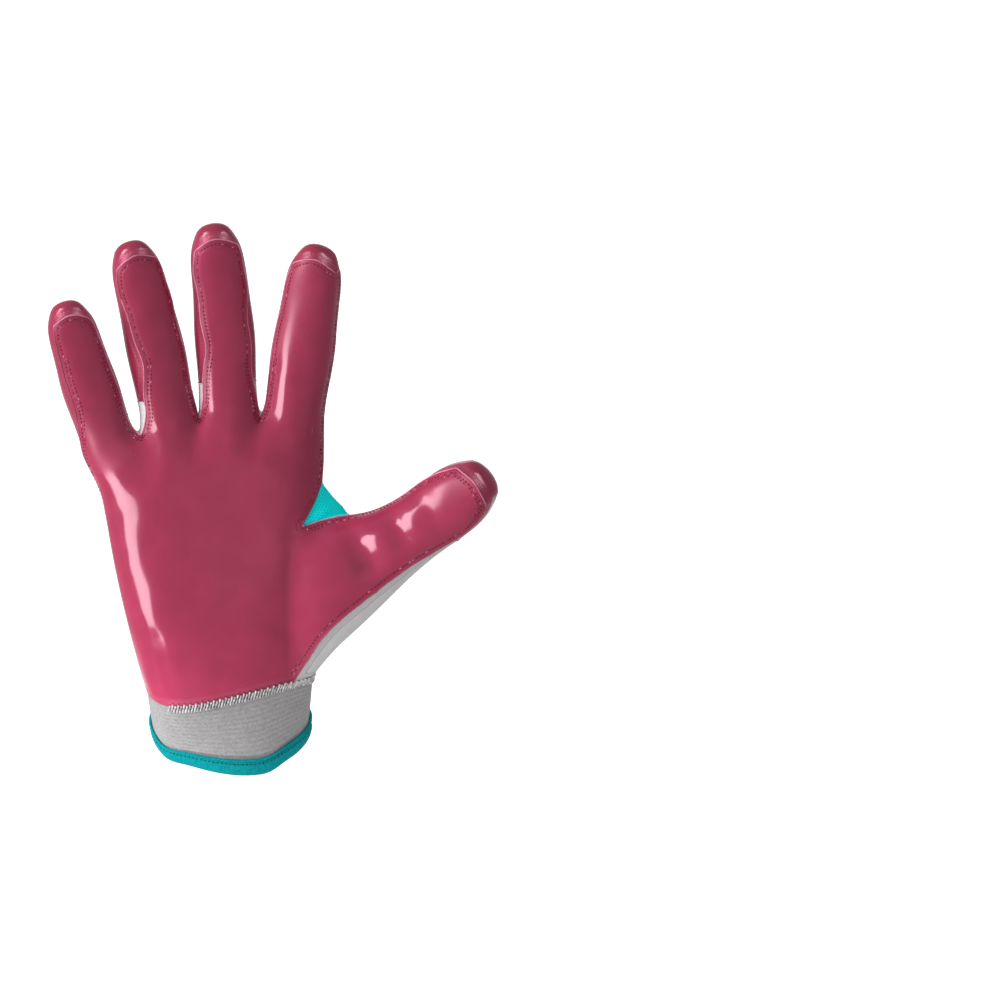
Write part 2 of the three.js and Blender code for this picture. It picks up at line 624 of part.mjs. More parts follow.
// Outward normals of the whole surface
const normals = points.map(() => vector(0, 0, 0));
for (const { ids } of quads) {
  const [a, b, c, d] = ids.map(at);
  const normal = c.clone().sub(a).cross(d.clone().sub(b));
  ids.forEach((id) => normals[id].add(normal));
}
normals.forEach((n) => n.normalize());

// A closed solid from one panel's quads: its outer face, the face a wall further in, and the edge between
// them.
function panelGeometry(name, wall, lift) {
  const own = quads.filter((q) => q.panel === name);
  const edges = new Map();
  for (const { ids } of own) {
    ids.forEach((a, i) => edges.set(a + "," + ids[(i + 1) % 4], [a, ids[(i + 1) % 4]]));
  }
  const rim = [...edges.values()].filter(([a, b]) => !edges.has(b + "," + a));
  const inward = new Map();
  for (const [a, b] of rim) {
    for (const id of [a, b]) {
      const into = normals[id].clone().cross(at(b).clone().sub(at(a))).normalize();
      const known = inward.get(id);
      if (known) {
        known.add(into);
        known.multiplyScalar(2 / Math.max(known.lengthSq(), MOST_MITRE));
      } else {
        inward.set(id, into);
      }
    }
  }
  const place = new Map();
  const vertices = [];
  const put = (id, out) => {
    const p = at(id).clone().addScaledVector(normals[id], out);
    if (inward.has(id)) p.addScaledVector(inward.get(id), SEAM_GAP / 2);
    return vertices.push(p) - 1;
  };
  const ofPoint = (id) => {
    if (!place.has(id)) place.set(id, [put(id, lift), put(id, lift - wall)]);
    return place.get(id);
  };
  const triangles = [];
  for (const { ids } of own) {
    const isShort = at(ids[0]).distanceTo(at(ids[2])) <= at(ids[1]).distanceTo(at(ids[3]));
    const [a, b, c, d] = isShort ? ids : [...ids.slice(1), ids[0]];
    for (const [p, q, r] of [[a, b, c], [a, c, d]].map((t) => t.map(ofPoint))) {
      triangles.push(p[0], q[0], r[0], r[1], q[1], p[1]);
    }
  }
  // Both panels at a seam split its twisted quads the same way, so that their edges stay parallel.
  for (const [a, b] of rim) {
    const [[aOut, aIn], [bOut, bIn]] = [ofPoint(a), ofPoint(b)];
    triangles.push(...(a < b ? [aOut, aIn, bIn, aOut, bIn, bOut] : [bOut, aOut, aIn, bOut, aIn, bIn]));
  }
  return new THREE.BufferGeometry().setFromPoints(vertices).setIndex(triangles);
}

// The binding: a folded tape, a channel round the cuff's edge
function bindingGeometry() {
  const rim = cuffRings[CUFF_ROWS];
  const above = cuffRings[CUFF_ROWS - 1];
  const [outer, inner] = [SEAM_GAP, -CUFF_WALL - SEAM_GAP];
  const top = BINDING_HEIGHT - SEAM_GAP - BINDING_WALL;
  const bottom = -SEAM_GAP;
  const profile = [
    [outer + BINDING_WALL, top],
    [outer + BINDING_WALL, bottom - BINDING_WALL],
    [inner - BINDING_WALL, bottom - BINDING_WALL],
    [inner - BINDING_WALL, top],
    [inner, top],
    [inner, bottom],
    [outer, bottom],
    [outer, top],
  ];
  const vertices = [];
  rim.forEach((id, n) => {
    const up = at(above[n]).clone().sub(at(id)).normalize();
    profile.forEach(([out, height]) =>
      vertices.push(at(id).clone().addScaledVector(normals[id], out).addScaledVector(up, height)),
    );
  });
  const triangles = [];
  const count = profile.length;
  rim.forEach((_, n) => {
    const next = (n + 1) % rim.length;
    for (let k = 0; k < count; k++) {
      const [a, b] = [n * count + k, n * count + ((k + 1) % count)];
      const [c, d] = [next * count + ((k + 1) % count), next * count + k];
      triangles.push(a, b, c, a, c, d);
    }
  });
  return new THREE.BufferGeometry().setFromPoints(vertices).setIndex(triangles);
}

// The nodes
const glove = new THREE.Group();

function addNode(name, geometry, { colour, roughness }) {
  const material = new THREE.MeshStandardMaterial({ color: colour, roughness, metalness: 0 });
  const mesh = new THREE.Mesh(geometry, material);
  mesh.name = name;
  glove.add(mesh);
}

const addPanel = (name, cloth) => addNode(name, panelGeometry(name, cloth.wall, cloth.lift), cloth);

addPanel("palm_panel", CLOTHS.silicone);
addPanel("back_panel", CLOTHS.backKnit);
for (const f of FINGERS) {
  addPanel(f.name + "_tip_wall", CLOTHS.strip);
}
addPanel("thumb_tip_wall", CLOTHS.strip);
FINGERS.slice(1).forEach((f, n) => {
  addPanel(FINGERS[n].name + "_" + f.name + "_gusset", CLOTHS.greyKnit);
});
addPanel("thumb_gusset", CLOTHS.mesh);
addPanel("thumb_side_gusset", CLOTHS.greyKnit);
addPanel("cuff", CLOTHS.cuffKnit);
addNode("cuff_binding", bindingGeometry(), CLOTHS.tape);

export default glove;
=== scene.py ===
"""A football receiver glove: glossy silicone palm, knit back, mesh thumb web, ribbed cuff and folded tape."""

import json
import math

import bmesh
import bpy
import numpy as np
from bpy.props import FloatProperty, FloatVectorProperty, IntProperty, PointerProperty
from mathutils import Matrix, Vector, noise
from mathutils.bvhtree import BVHTree
from mathutils.kdtree import KDTree

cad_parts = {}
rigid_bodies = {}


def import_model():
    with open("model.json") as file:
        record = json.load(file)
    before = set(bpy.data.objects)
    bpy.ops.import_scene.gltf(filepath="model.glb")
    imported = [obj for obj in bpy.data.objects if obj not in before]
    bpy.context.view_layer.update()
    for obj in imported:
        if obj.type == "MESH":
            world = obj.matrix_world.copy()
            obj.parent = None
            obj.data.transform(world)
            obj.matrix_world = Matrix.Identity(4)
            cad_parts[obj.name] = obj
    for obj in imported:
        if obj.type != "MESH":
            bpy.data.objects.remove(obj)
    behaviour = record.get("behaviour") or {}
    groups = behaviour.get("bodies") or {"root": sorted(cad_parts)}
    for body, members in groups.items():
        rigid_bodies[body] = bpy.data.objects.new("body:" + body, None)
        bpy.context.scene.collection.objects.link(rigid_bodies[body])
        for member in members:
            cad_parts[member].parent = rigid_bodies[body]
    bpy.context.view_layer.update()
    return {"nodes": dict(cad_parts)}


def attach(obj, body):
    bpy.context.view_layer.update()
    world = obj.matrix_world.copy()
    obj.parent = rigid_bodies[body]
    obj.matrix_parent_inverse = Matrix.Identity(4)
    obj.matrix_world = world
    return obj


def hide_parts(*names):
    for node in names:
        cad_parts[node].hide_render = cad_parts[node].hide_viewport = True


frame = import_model()

bl_info = {
    "name": "Receiver Glove",
    "version": (1, 0, 0),
    "blender": (4, 5, 0),
    "location": "3D View > Sidebar > Glove",
    "description": "Dresses the glove's solids with silicone, knit, mesh, stitches and seams",
    "category": "Object",
}

MM = 0.001
TINY = 1e-12  # keeps a division from failing
OUTER, RIM, INNER = 0, 1, 2  # material slots of a panel's face, its cut edge and its reverse side
SHARP_TURN = 38  # degrees; a panel's corner that turns further stays sharp
RIM_TOLERANCE = 0.003 * MM  # how far the length of an edge across the rim may be from the cloth's thickness
FINE_STEP, STEP = 0.4 * MM, 0.5 * MM  # from one point to the next of a line along a seam
INSET_SHARE = 0.93  # how near the border an inset line may come, as a share of its distance
STITCH_DIP = 0.8  # how far a stitch's ends dip into the cloth, in radii of its thread

# Each sewn panel's node: the piece that stands for it, the way its face looks, its cloth's thickness in
# millimetres, and how crisp its edge is
PANELS = {
    "palm_panel": ("palm_silicone", (0, -1, 0), 1.4, 0.85),
    "back_panel": ("back_knit", (0, 1, 0), 1.0, 0.9),
    "little_tip_wall": ("little_side_strip", (0, 0, 1), 1.2, 0.6),
    "ring_tip_wall": ("ring_side_strip", (0, 0, 1), 1.2, 0.6),
    "middle_tip_wall": ("middle_side_strip", (0, 0, 1), 1.2, 0.6),
    "index_tip_wall": ("index_side_strip", (0, 0, 1), 1.2, 0.6),
    "thumb_tip_wall": ("thumb_side_strip", (1, 0, 1), 1.2, 0.6),
    "little_ring_gusset": ("little_ring_knit", (0, 0, 1), 1.0, 0.9),
    "ring_middle_gusset": ("ring_middle_knit", (0, 0, 1), 1.0, 0.9),
    "middle_index_gusset": ("middle_index_knit", (0, 0, 1), 1.0, 0.9),
    "thumb_gusset": ("thumb_web_mesh", (1, 0, 1), 1.0, 0.9),
    "thumb_side_gusset": ("thumb_side_knit", (1, 0, -1), 1.0, 0.9),
    "cuff": ("cuff_knit", None, 1.6, 0.9),
}
STRIPS = [node for node in PANELS if node.endswith("tip_wall")]
CROTCHES = ["little_ring_gusset", "ring_middle_gusset", "middle_index_gusset"]

# Below each crotch of the fingers the silicone lies flat: x and z of its middle and its radius in millimetres
FLATS = [(-37, 110, 10), (-12, 120, 10), (12, 120, 9), (29, 112, 10)]

# Shallow folds of the silicone: x and z of both ends, half width and depth in millimetres, a ridge's below 0
FOLDS = [
    (45, 88, 58, 65, 5.2, 2.3),
    (63, 92, 71, 76, 3.6, 1.3),
    (78, 96, 85, 81, 3.0, 0.5),
    (-40, 52, -32, 20, 2.0, 0.35),
    (-35, 46, -28, 18, 1.8, 0.4),
    (-29, 40, -22, 16, 2.2, 0.3),
    (25, 150, 23.6, 124, 4.0, -0.6),
]

# Where the film is duller: x and z of each patch's middle, its half width and half height in millimetres, and
# the share of them over which it sets in
DULL = [
    (-52, 117, 16, 14.5, 0.22),
    (26, 180, 20, 36.0, 0.8),
    (96, 106, 26, 26.0, 0.9),
]


def srgb(code):
    """A colour's linear red, green and blue, from six hexadecimal digits."""
    parts = [int(code[i : i + 2], 16) / 255 for i in (0, 2, 4)]
    return tuple(c / 12.92 if c <= 0.04045 else ((c + 0.055) / 1.055) ** 2.4 for c in parts)


def length(name, text, default):
    """A length that a user can set, given in millimetres."""
    return FloatProperty(
        name=name, description=text, default=default * MM, min=0, max=0.1, subtype="DISTANCE", unit="LENGTH"
    )


def colour(name, text, code):
    """A colour that a user can set."""
    return FloatVectorProperty(
        name=name, description=text, default=srgb(code), min=0, max=1, size=3, subtype="COLOR"
    )


class GloveSizes(bpy.types.PropertyGroup):
    """Sizes that a user would change."""

    levels: IntProperty(name="Smoothness", description="Levels of subdivision", default=2, min=0, max=3)
    stitch_pitch: length("Stitch pitch", "From one stitch of the palm to the next", 1.55)
    stitch_length: length("Stitch length", "Length of one stitch of the palm", 0.95)
    thread: length("Thread", "Radius of the sewing thread", 0.21)
    row_inset: length("Stitch row", "How far inside the palm panel's edge its stitches run", 1.75)
    second_row: length("Second row", "How far inside the edge the second row at sides and crotches runs", 2.9)
    edge_radius: length("Cut edge", "Radius of the rolled cut edge of the silicone cloth", 0.3)
    rib_pitch: length("Rib pitch", "From one rib of the cuff to the next", 1.4)
    rib_depth: length("Rib depth", "Depth of the grooves between the cuff's ribs", 0.12)
    overlock_pitch: length("Overlock pitch", "From one stroke of the wrist's overlock to the next", 1.2)
    overlock_width: length("Overlock width", "Width of the wrist's overlock band", 3.0)


class GloveColours(bpy.types.PropertyGroup):
    """Colours that a user would change."""

    silicone: colour("Silicone", "Palm and finger fronts", "98304c")
    strip: colour("Side strips", "Silicone over the fingertips", "982c4a")
    cut_edge: colour("Cut edge", "Pale cut edge of the silicone cloth", "e08aa6")
    # Partly painted shade: a thread of the silicone's pink, painted darker for the shade in the holes it
    # sinks into.
    thread: colour("Palm thread", "Thread of the palm's stitches", "611a33")
    back: colour("Back knit", "Plain knit of the back", "d2cfd1")
    grey: colour("Grey knit", "Gussets between the fingers and beside the thumb", "ece8ea")
    mesh: colour("Web mesh", "Mesh between thumb and index finger", "0cf0f0")
    cuff: colour("Cuff", "Ribbed knit of the cuff", "9c9a9b")
    tape: colour("Tape", "Folded tape at the cuff's edge", "04989f")
    overlock: colour("Overlock thread", "Thread of the wrist seam", "d6d4d5")


# Selecting and modifying, as by hand


def select_only(piece):
    for other in bpy.context.selected_objects:
        other.select_set(False)
    piece.select_set(True)
    bpy.context.view_layer.objects.active = piece


def apply_modifier(piece, kind, **settings):
    modifier = piece.modifiers.new(kind.title(), kind)
    for key, value in settings.items():
        setattr(modifier, key, value)
    select_only(piece)
    bpy.ops.object.modifier_apply(modifier=modifier.name)


def subdivide(piece, levels):
    apply_modifier(piece, "SUBSURF", levels=levels, render_levels=levels, uv_smooth="PRESERVE_BOUNDARIES")


def finish_piece(piece, materials, nodes=()):
    """Gives a piece its materials and its body, and hides the nodes that it stands for."""
    for material in materials:
        piece.data.materials.append(material)
    select_only(piece)
    bpy.ops.object.shade_smooth_by_angle(angle=math.radians(60))
    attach(piece, "root")
    if nodes:
        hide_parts(*nodes)
    return piece


def add_object(name, data):
    """A new object in the scene."""
    piece = bpy.data.objects.new(name, data)
    bpy.context.scene.collection.objects.link(piece)
    return piece


def points_of(mesh):
    return np.array([v.co[:] for v in mesh.vertices])


def normals_of(mesh):
    return np.array([v.normal[:] for v in mesh.vertices])


def on_side(mesh, side):
    """Which of a panel's points belong to a face on one side of its cloth."""
    found = np.zeros(len(mesh.vertices), bool)
    for face in mesh.polygons:
        if face.material_index == side:
            found[list(face.vertices)] = True
    return found


def store(piece, name, values):
    """Keeps a value for each point of a piece, for its finish to read."""
    attribute = piece.data.attributes.new(name, "FLOAT", "POINT")
    attribute.data.foreach_set("value", np.asarray(values, np.float32))


def copy_node(node, name):
    """A new piece with a merged copy of a CAD node's mesh, in quads."""
    piece = add_object(name, frame["nodes"][node].data.copy())
    piece.data.materials.clear()
    select_only(piece)
    bpy.ops.mesh.customdata_custom_splitnormals_clear()
    bpy.ops.object.mode_set(mode="EDIT")
    bpy.ops.mesh.select_all(action="SELECT")
    bpy.ops.mesh.remove_doubles(threshold=0.002 * MM)
    bpy.ops.mesh.tris_convert_to_quads(
        face_threshold=math.radians(60), shape_threshold=math.pi, topology_influence=2.0
    )
    bpy.ops.object.mode_set(mode="OBJECT")
    return piece


def cloth_sides(mesh, thickness):
    """The faces of a cloth's two sides. Faces of its cut edge have an edge as long as the cloth is thick."""
    rim = {
        face
        for face in mesh.faces
        if any(abs(edge.calc_length() - thickness) < RIM_TOLERANCE for edge in face.edges)
    }
    sides = []
    left = [face for face in mesh.faces if face not in rim]
    seen = set()
    for start in left:
        if start in seen:
            continue
        seen.add(start)
        group = [start]
        for face in group:
            for edge in face.edges:
                for other in edge.link_faces:
                    if other not in rim and other not in seen:
                        seen.add(other)
                        group.append(other)
        sides.append(group)
    return sorted(sides, key=lambda group: -sum(face.calc_area() for face in group))


def mark_sides(piece, facing, thickness, crease):
    """Puts a panel's face, cut edge and reverse side in material slots of their own and creases its edges."""
    mesh = bmesh.new()
    mesh.from_mesh(piece.data)
    sides = cloth_sides(mesh, thickness * MM)
    if len(sides) != 2:
        raise RuntimeError(f"{piece.name}: its cloth has {len(sides)} sides instead of 2")
    if facing:
        sides.sort(key=lambda group: -looks(group).dot(Vector(facing)))
    for face in mesh.faces:
        face.material_index = RIM
    for side, group in zip((OUTER, INNER), sides):
        for face in group:
            face.material_index = side
    creases = mesh.edges.layers.float.get("crease_edge") or mesh.edges.layers.float.new("crease_edge")
    for edge in mesh.edges:
        edge.seam = is_border(edge)
        is_corner = sides_at(edge) == {RIM} and all(border_turn(vert) > SHARP_TURN for vert in edge.verts)
        edge[creases] = crease if edge.seam else float(is_corner)
    mesh.to_mesh(piece.data)
    mesh.free()


def looks(faces):
    """Which way a group of faces looks, longer for a larger group."""
    return sum((face.normal * face.calc_area() for face in faces), Vector())


def sides_at(edge):
    return {face.material_index for face in edge.link_faces}


def is_border(edge):
    return len(sides_at(edge)) > 1


def border_turn(vert):
    """How far a panel's border turns at one of its points, in degrees."""
    ways = [(edge.other_vert(vert).co - vert.co).normalized() for edge in vert.link_edges if is_border(edge)]
    return 180 - math.degrees(ways[0].angle(ways[1])) if len(ways) == 2 else 0


def flatten_cloth(piece):
    """Unwraps each side of the cloth to its flat cut in millimetres, with the grain running up."""
    for _ in piece.data.uv_layers[:]:
        piece.data.uv_layers.remove(piece.data.uv_layers[0])
    piece.data.uv_layers.new(name="cloth_mm")
    select_only(piece)
    bpy.ops.object.mode_set(mode="EDIT")
    bpy.ops.mesh.select_all(action="SELECT")
    bpy.ops.uv.select_all(action="SELECT")
    bpy.ops.uv.unwrap(method="ANGLE_BASED", margin=0.0)
    bpy.ops.object.mode_set(mode="OBJECT")
    mesh = bmesh.new()
    mesh.from_mesh(piece.data)
    uv = mesh.loops.layers.uv.active
    for side in (OUTER, RIM, INNER):
        faces = [face for face in mesh.faces if face.material_index == side]
        real = sum(face.calc_area() for face in faces) / MM**2
        flat = sum(abs(loop_area(face, uv)) for face in faces)
        loops = [loop for face in faces for loop in face.loops]
        places = np.array([[*loop[uv].uv, 1] for loop in loops])
        heights = np.array([loop.vert.co.z for loop in loops])
        slope = np.linalg.lstsq(places, heights, rcond=None)[0][:2]
        angle = math.atan2(slope[0], slope[1])
        scale = math.sqrt(real / max(flat, TINY))
        turn = scale * np.array([[math.cos(angle), -math.sin(angle)], [math.sin(angle), math.cos(angle)]])
        for loop in loops:
            loop[uv].uv = turn @ np.array(loop[uv].uv)
    mesh.to_mesh(piece.data)
    mesh.free()


def loop_area(face, uv):
    corners = [loop[uv].uv for loop in face.loops]
    return 0.5 * sum(a.x * b.y - b.x * a.y for a, b in zip(corners, corners[1:] + corners[:1]))


# Lines along seams


class Line:
    """Points along a seam, each with the cloth's normal and the way into the panel."""

    def __init__(self, points, normals, inwards, is_closed=True):
        self.points = np.array(points, float)
        self.normals = unit(np.array(normals, float))
        self.inwards = unit(np.array(inwards, float))
        self.is_closed = is_closed

    def tangents(self):
        if self.is_closed:
            ahead = np.roll(self.points, -1, 0) - np.roll(self.points, 1, 0)
        else:
            ahead = np.gradient(self.points, axis=0)
        return unit(ahead)

    def resample(self, step):
        """The same line with points at equal steps."""
        parts = [self.points, self.normals, self.inwards]
        if self.is_closed:
            parts = [np.vstack([part, part[:1]]) for part in parts]
        walked = np.concatenate([[0], np.cumsum(np.linalg.norm(np.diff(parts[0], axis=0), axis=1))])
        count = max(3, round(walked[-1] / step))
        at = np.linspace(0, walked[-1], count, endpoint=not self.is_closed)
        found = [np.stack([np.interp(at, walked, part[:, k]) for k in range(3)], 1) for part in parts]
        return Line(*found, self.is_closed)

    def smoothed(self, times):
        line = self
        for _ in range(times):
            owns = (line.points, line.normals, line.inwards)
            parts = [(np.roll(own, 1, 0) + 2 * own + np.roll(own, -1, 0)) / 4 for own in owns]
            if not self.is_closed:
                for part, own in zip(parts, owns):
                    part[0], part[-1] = own[0], own[-1]
            line = Line(*parts, self.is_closed)
        return line

    def where(self, keep):
        """The stretches of the line where keep is true."""
        if keep.all():
            return [self]
        start = int(np.argmin(keep)) if self.is_closed else 0
        order = np.roll(np.arange(len(keep)), -start)
        runs = []
        run = []
        for i in order:
            if keep[i]:
                run.append(i)
            elif run:
                runs.append(run)
                run = []
        if run:
            runs.append(run)
        return [Line(self.points[r], self.normals[r], self.inwards[r], False) for r in runs if len(r) > 3]


def unit(vectors):
    return vectors / np.maximum(np.linalg.norm(vectors, axis=1, keepdims=True), TINY)


def tree_of(points):
    tree = KDTree(len(points))
    for i, point in enumerate(points):
        tree.insert(point, i)
    tree.balance()
    return tree


def distances(tree, points):
    return np.array([tree.find(point)[2] for point in points])


def borders(piece):
    """The closed lines round a panel's face, longest first."""
    mesh = bmesh.new()
    mesh.from_mesh(piece.data)
    links = {}
    for edge in mesh.edges:
        if sides_at(edge) == {OUTER, RIM}:
            a, b = edge.verts
            links.setdefault(a, []).append(b)
            links.setdefault(b, []).append(a)
    lines = []
    left = set(links)
    while left:
        start = min(left, key=lambda vert: vert.index)
        loop = [start]
        left.discard(start)
        while True:
            ahead = [vert for vert in links[loop[-1]] if vert in left]
            if not ahead:
                break
            loop.append(ahead[0])
            left.discard(ahead[0])
        points, normals, inwards = [], [], []
        for vert in loop:
            faces = [face for face in vert.link_faces if face.material_index == OUTER]
            normal = sum((face.normal for face in faces), Vector()).normalized()
            inward = sum((face.calc_center_median() - vert.co for face in faces), Vector())
            points.append(vert.co[:])
            normals.append(normal[:])
            inwards.append((inward - normal * inward.dot(normal))[:])
        line = Line(points, normals, inwards)
        across = line.inwards - line.tangents() * np.sum(line.inwards * line.tangents(), 1, keepdims=True)
        line.inwards = unit(across)
        lines.append(line)
    mesh.free()
    return sorted(lines, key=lambda line: -len(line.points))


def face_tree(piece):
    """A search tree of a panel's face."""
    mesh = piece.data
    faces = [tuple(f.vertices) for f in mesh.polygons if f.material_index == OUTER]
    return BVHTree.FromPolygons([v.co[:] for v in mesh.vertices], faces)


def inset(line, distance, surface):
    """A line that runs inside a border at a distance, on the cloth."""
    fine = line.resample(FINE_STEP).smoothed(6)
    border = tree_of(fine.points)
    moved = fine.points + fine.inwards * distance
    points, normals, inwards = [], [], []
    for place, inward in zip(moved, fine.inwards):
        spot, normal, _, _ = surface.find_nearest(place)
        if border.find(spot)[2] > INSET_SHARE * distance:
            points.append(spot[:])
            normals.append(normal[:])
            inwards.append(inward)
    return Line(points, normals, inwards).resample(FINE_STEP).smoothed(8)


def measure_edges(piece, lines):
    """Stores each point's distance from the panel's border, and how far along the border it lies."""
    points, marks = [], []
    for line in lines:
        fine = line.resample(STEP)
        points.append(fine.points)
        marks.append(np.arange(len(fine.points)) * (STEP / MM))
    points, marks = np.vstack(points), np.concatenate(marks)
    tree = tree_of(points)
    found = [tree.find(vertex.co) for vertex in piece.data.vertices]
    store(piece, "edge_mm", [distance / MM for _, _, distance in found])
    store(piece, "along_mm", [marks[index] for _, index, _ in found])


def make_panel(node, materials):
    """A cloth panel: a smooth copy of its node with a flat cut and its edge measured."""
    name, facing, thickness, crease = PANELS[node]
    piece = copy_node(node, name)
    mark_sides(piece, facing, thickness, crease)
    if facing:
        flatten_cloth(piece)
    subdivide(piece, bpy.context.scene.glove_sizes.levels)
    measure_edges(piece, borders(piece))
    return finish_piece(piece, materials, [node])


def away_from_edges(piece, near=1.5, far=5.0):
    """For each point of a panel, 0 near its border and 1 far from it, with both distances in millimetres."""
    edge = np.zeros(len(piece.data.vertices), np.float32)
    piece.data.attributes["edge_mm"].data.foreach_get("value", edge)
    return np.clip((edge - near) / (far - near), 0, 1)


def relax_flats(piece):
    """Lets the cloth lie flat below the crotches."""
    places = points_of(piece.data) / MM
    inside = away_from_edges(piece)
    group = piece.vertex_groups.new(name="flats")
    for x, z, radius in FLATS:
        reach = np.hypot(places[:, 0] - x, places[:, 2] - z) / radius
        share = np.clip(1.3 - reach, 0, 1) * inside
        for i in np.nonzero(share > 0)[0]:
            group.add([int(i)], float(min(1, 2 * share[i])), "ADD")
    apply_modifier(piece, "SMOOTH", factor=0.5, iterations=160, vertex_group="flats")
    piece.vertex_groups.clear()


def press_folds(piece, swell=0.35, lump=13.0):
    """Presses the folds into the cloth and lets it swell a little between them, in lumps of a size."""
    mesh = piece.data
    places = points_of(mesh)
    outward = normals_of(mesh)
    outward[on_side(mesh, INNER)] *= -1
    flat = places[:, [0, 2]] / MM
    sunk = np.zeros(len(places))
    for x0, z0, x1, z1, width, depth in FOLDS:
        start, span = np.array([x0, z0]), np.array([x1 - x0, z1 - z0])
        share = ((flat - start) @ span) / (span @ span)
        nearest = start + np.clip(share, 0, 1)[:, None] * span
        distance = np.linalg.norm(flat - nearest, axis=1)
        fade = np.clip(4 * np.minimum(share, 1 - share) + 0.6, 0, 1)
        sunk += depth * fade * np.exp(-((distance / width) ** 2))
    lumps = np.array([noise.noise(Vector(p) / (lump * MM)) for p in places])
    front = np.clip(-outward[:, 1], 0, 1)
    move = (swell * lumps - sunk) * MM * front * away_from_edges(piece)
    mesh.vertices.foreach_set("co", (places + outward * move[:, None]).ravel())


def mark_dull(piece):
    """Stores where the film is duller."""
    places = points_of(piece.data) / MM
    share = np.zeros(len(places))
    for x, z, half_width, half_height, blur in DULL:
        reach = np.hypot((places[:, 0] - x) / half_width, (places[:, 2] - z) / half_height)
        share = np.maximum(share, np.clip((1 - reach) / blur, 0, 1))
    store(piece, "dull", share)


# Threads and stitches


def thread_piece(name, runs, radius, roundness=1, wobble=0.0, seed=1):
    """A thread along each run of points, made a mesh. Its radius changes by chance by a share, its wobble."""
    random = np.random.default_rng(seed)
    data = bpy.data.curves.new(name, "CURVE")
    data.dimensions = "3D"
    data.bevel_depth = radius
    data.bevel_resolution = roundness
    data.use_fill_caps = True
    for points, is_closed in runs:
        spline = data.splines.new("POLY")
        spline.points.add(len(points) - 1)
        spline.points.foreach_set("co", np.hstack([points, np.ones((len(points), 1))]).ravel())
        widths = 1 + wobble * random.uniform(-1, 1, len(points))
        spline.points.foreach_set("radius", widths)
        spline.use_cyclic_u = is_closed
    select_only(add_object(name, data))
    bpy.ops.object.convert(target="MESH")
    return bpy.context.view_layer.objects.active


def stitch_shape(half_length, radius):
    """One sewn stitch, lying along X with Z up: a thread that dips into the cloth at both ends."""
    bpy.ops.object.select_all(action="DESELECT")
    bpy.ops.mesh.primitive_uv_sphere_add(segments=8, ring_count=6, radius=1)
    shape = bpy.context.object
    bpy.ops.object.mode_set(mode="EDIT")
    bpy.ops.transform.rotate(value=math.pi / 2, orient_axis="Y", center_override=(0, 0, 0))
    bpy.ops.mesh.select_all(action="SELECT")
    bpy.ops.transform.resize(value=(half_length, radius, radius), center_override=(0, 0, 0))
    bpy.ops.object.mode_set(mode="OBJECT")
    points = points_of(shape.data)
    points[:, 2] -= STITCH_DIP * radius * (points[:, 0] / half_length) ** 2
    faces = [tuple(f.vertices) for f in shape.data.polygons]
    bpy.data.objects.remove(shape)
    return points, faces


def stitch_piece(name, lines, pitch, stitch_length, radius, lift=0.3):
    """A row of stitches along each line, in one mesh, lifted off the cloth by a share of their radius."""
    shape, faces = stitch_shape(stitch_length / 2, radius)
    points, polygons = [], []
    for line in lines:
        row = line.resample(pitch)
        forwards = row.tangents()
        sides = unit(np.cross(row.normals, forwards))
        ups = np.cross(forwards, sides)
        for centre, forward, side, up in zip(row.points, forwards, sides, ups):
            first = len(points) * len(shape)
            points.append(centre + up * lift * radius + shape @ np.array([forward, side, up]))
            polygons.extend(tuple(first + i for i in face) for face in faces)
    mesh = bpy.data.meshes.new(name)
    mesh.from_pydata(np.vstack(points).tolist(), [], polygons)
    return add_object(name, mesh)


# Finishes


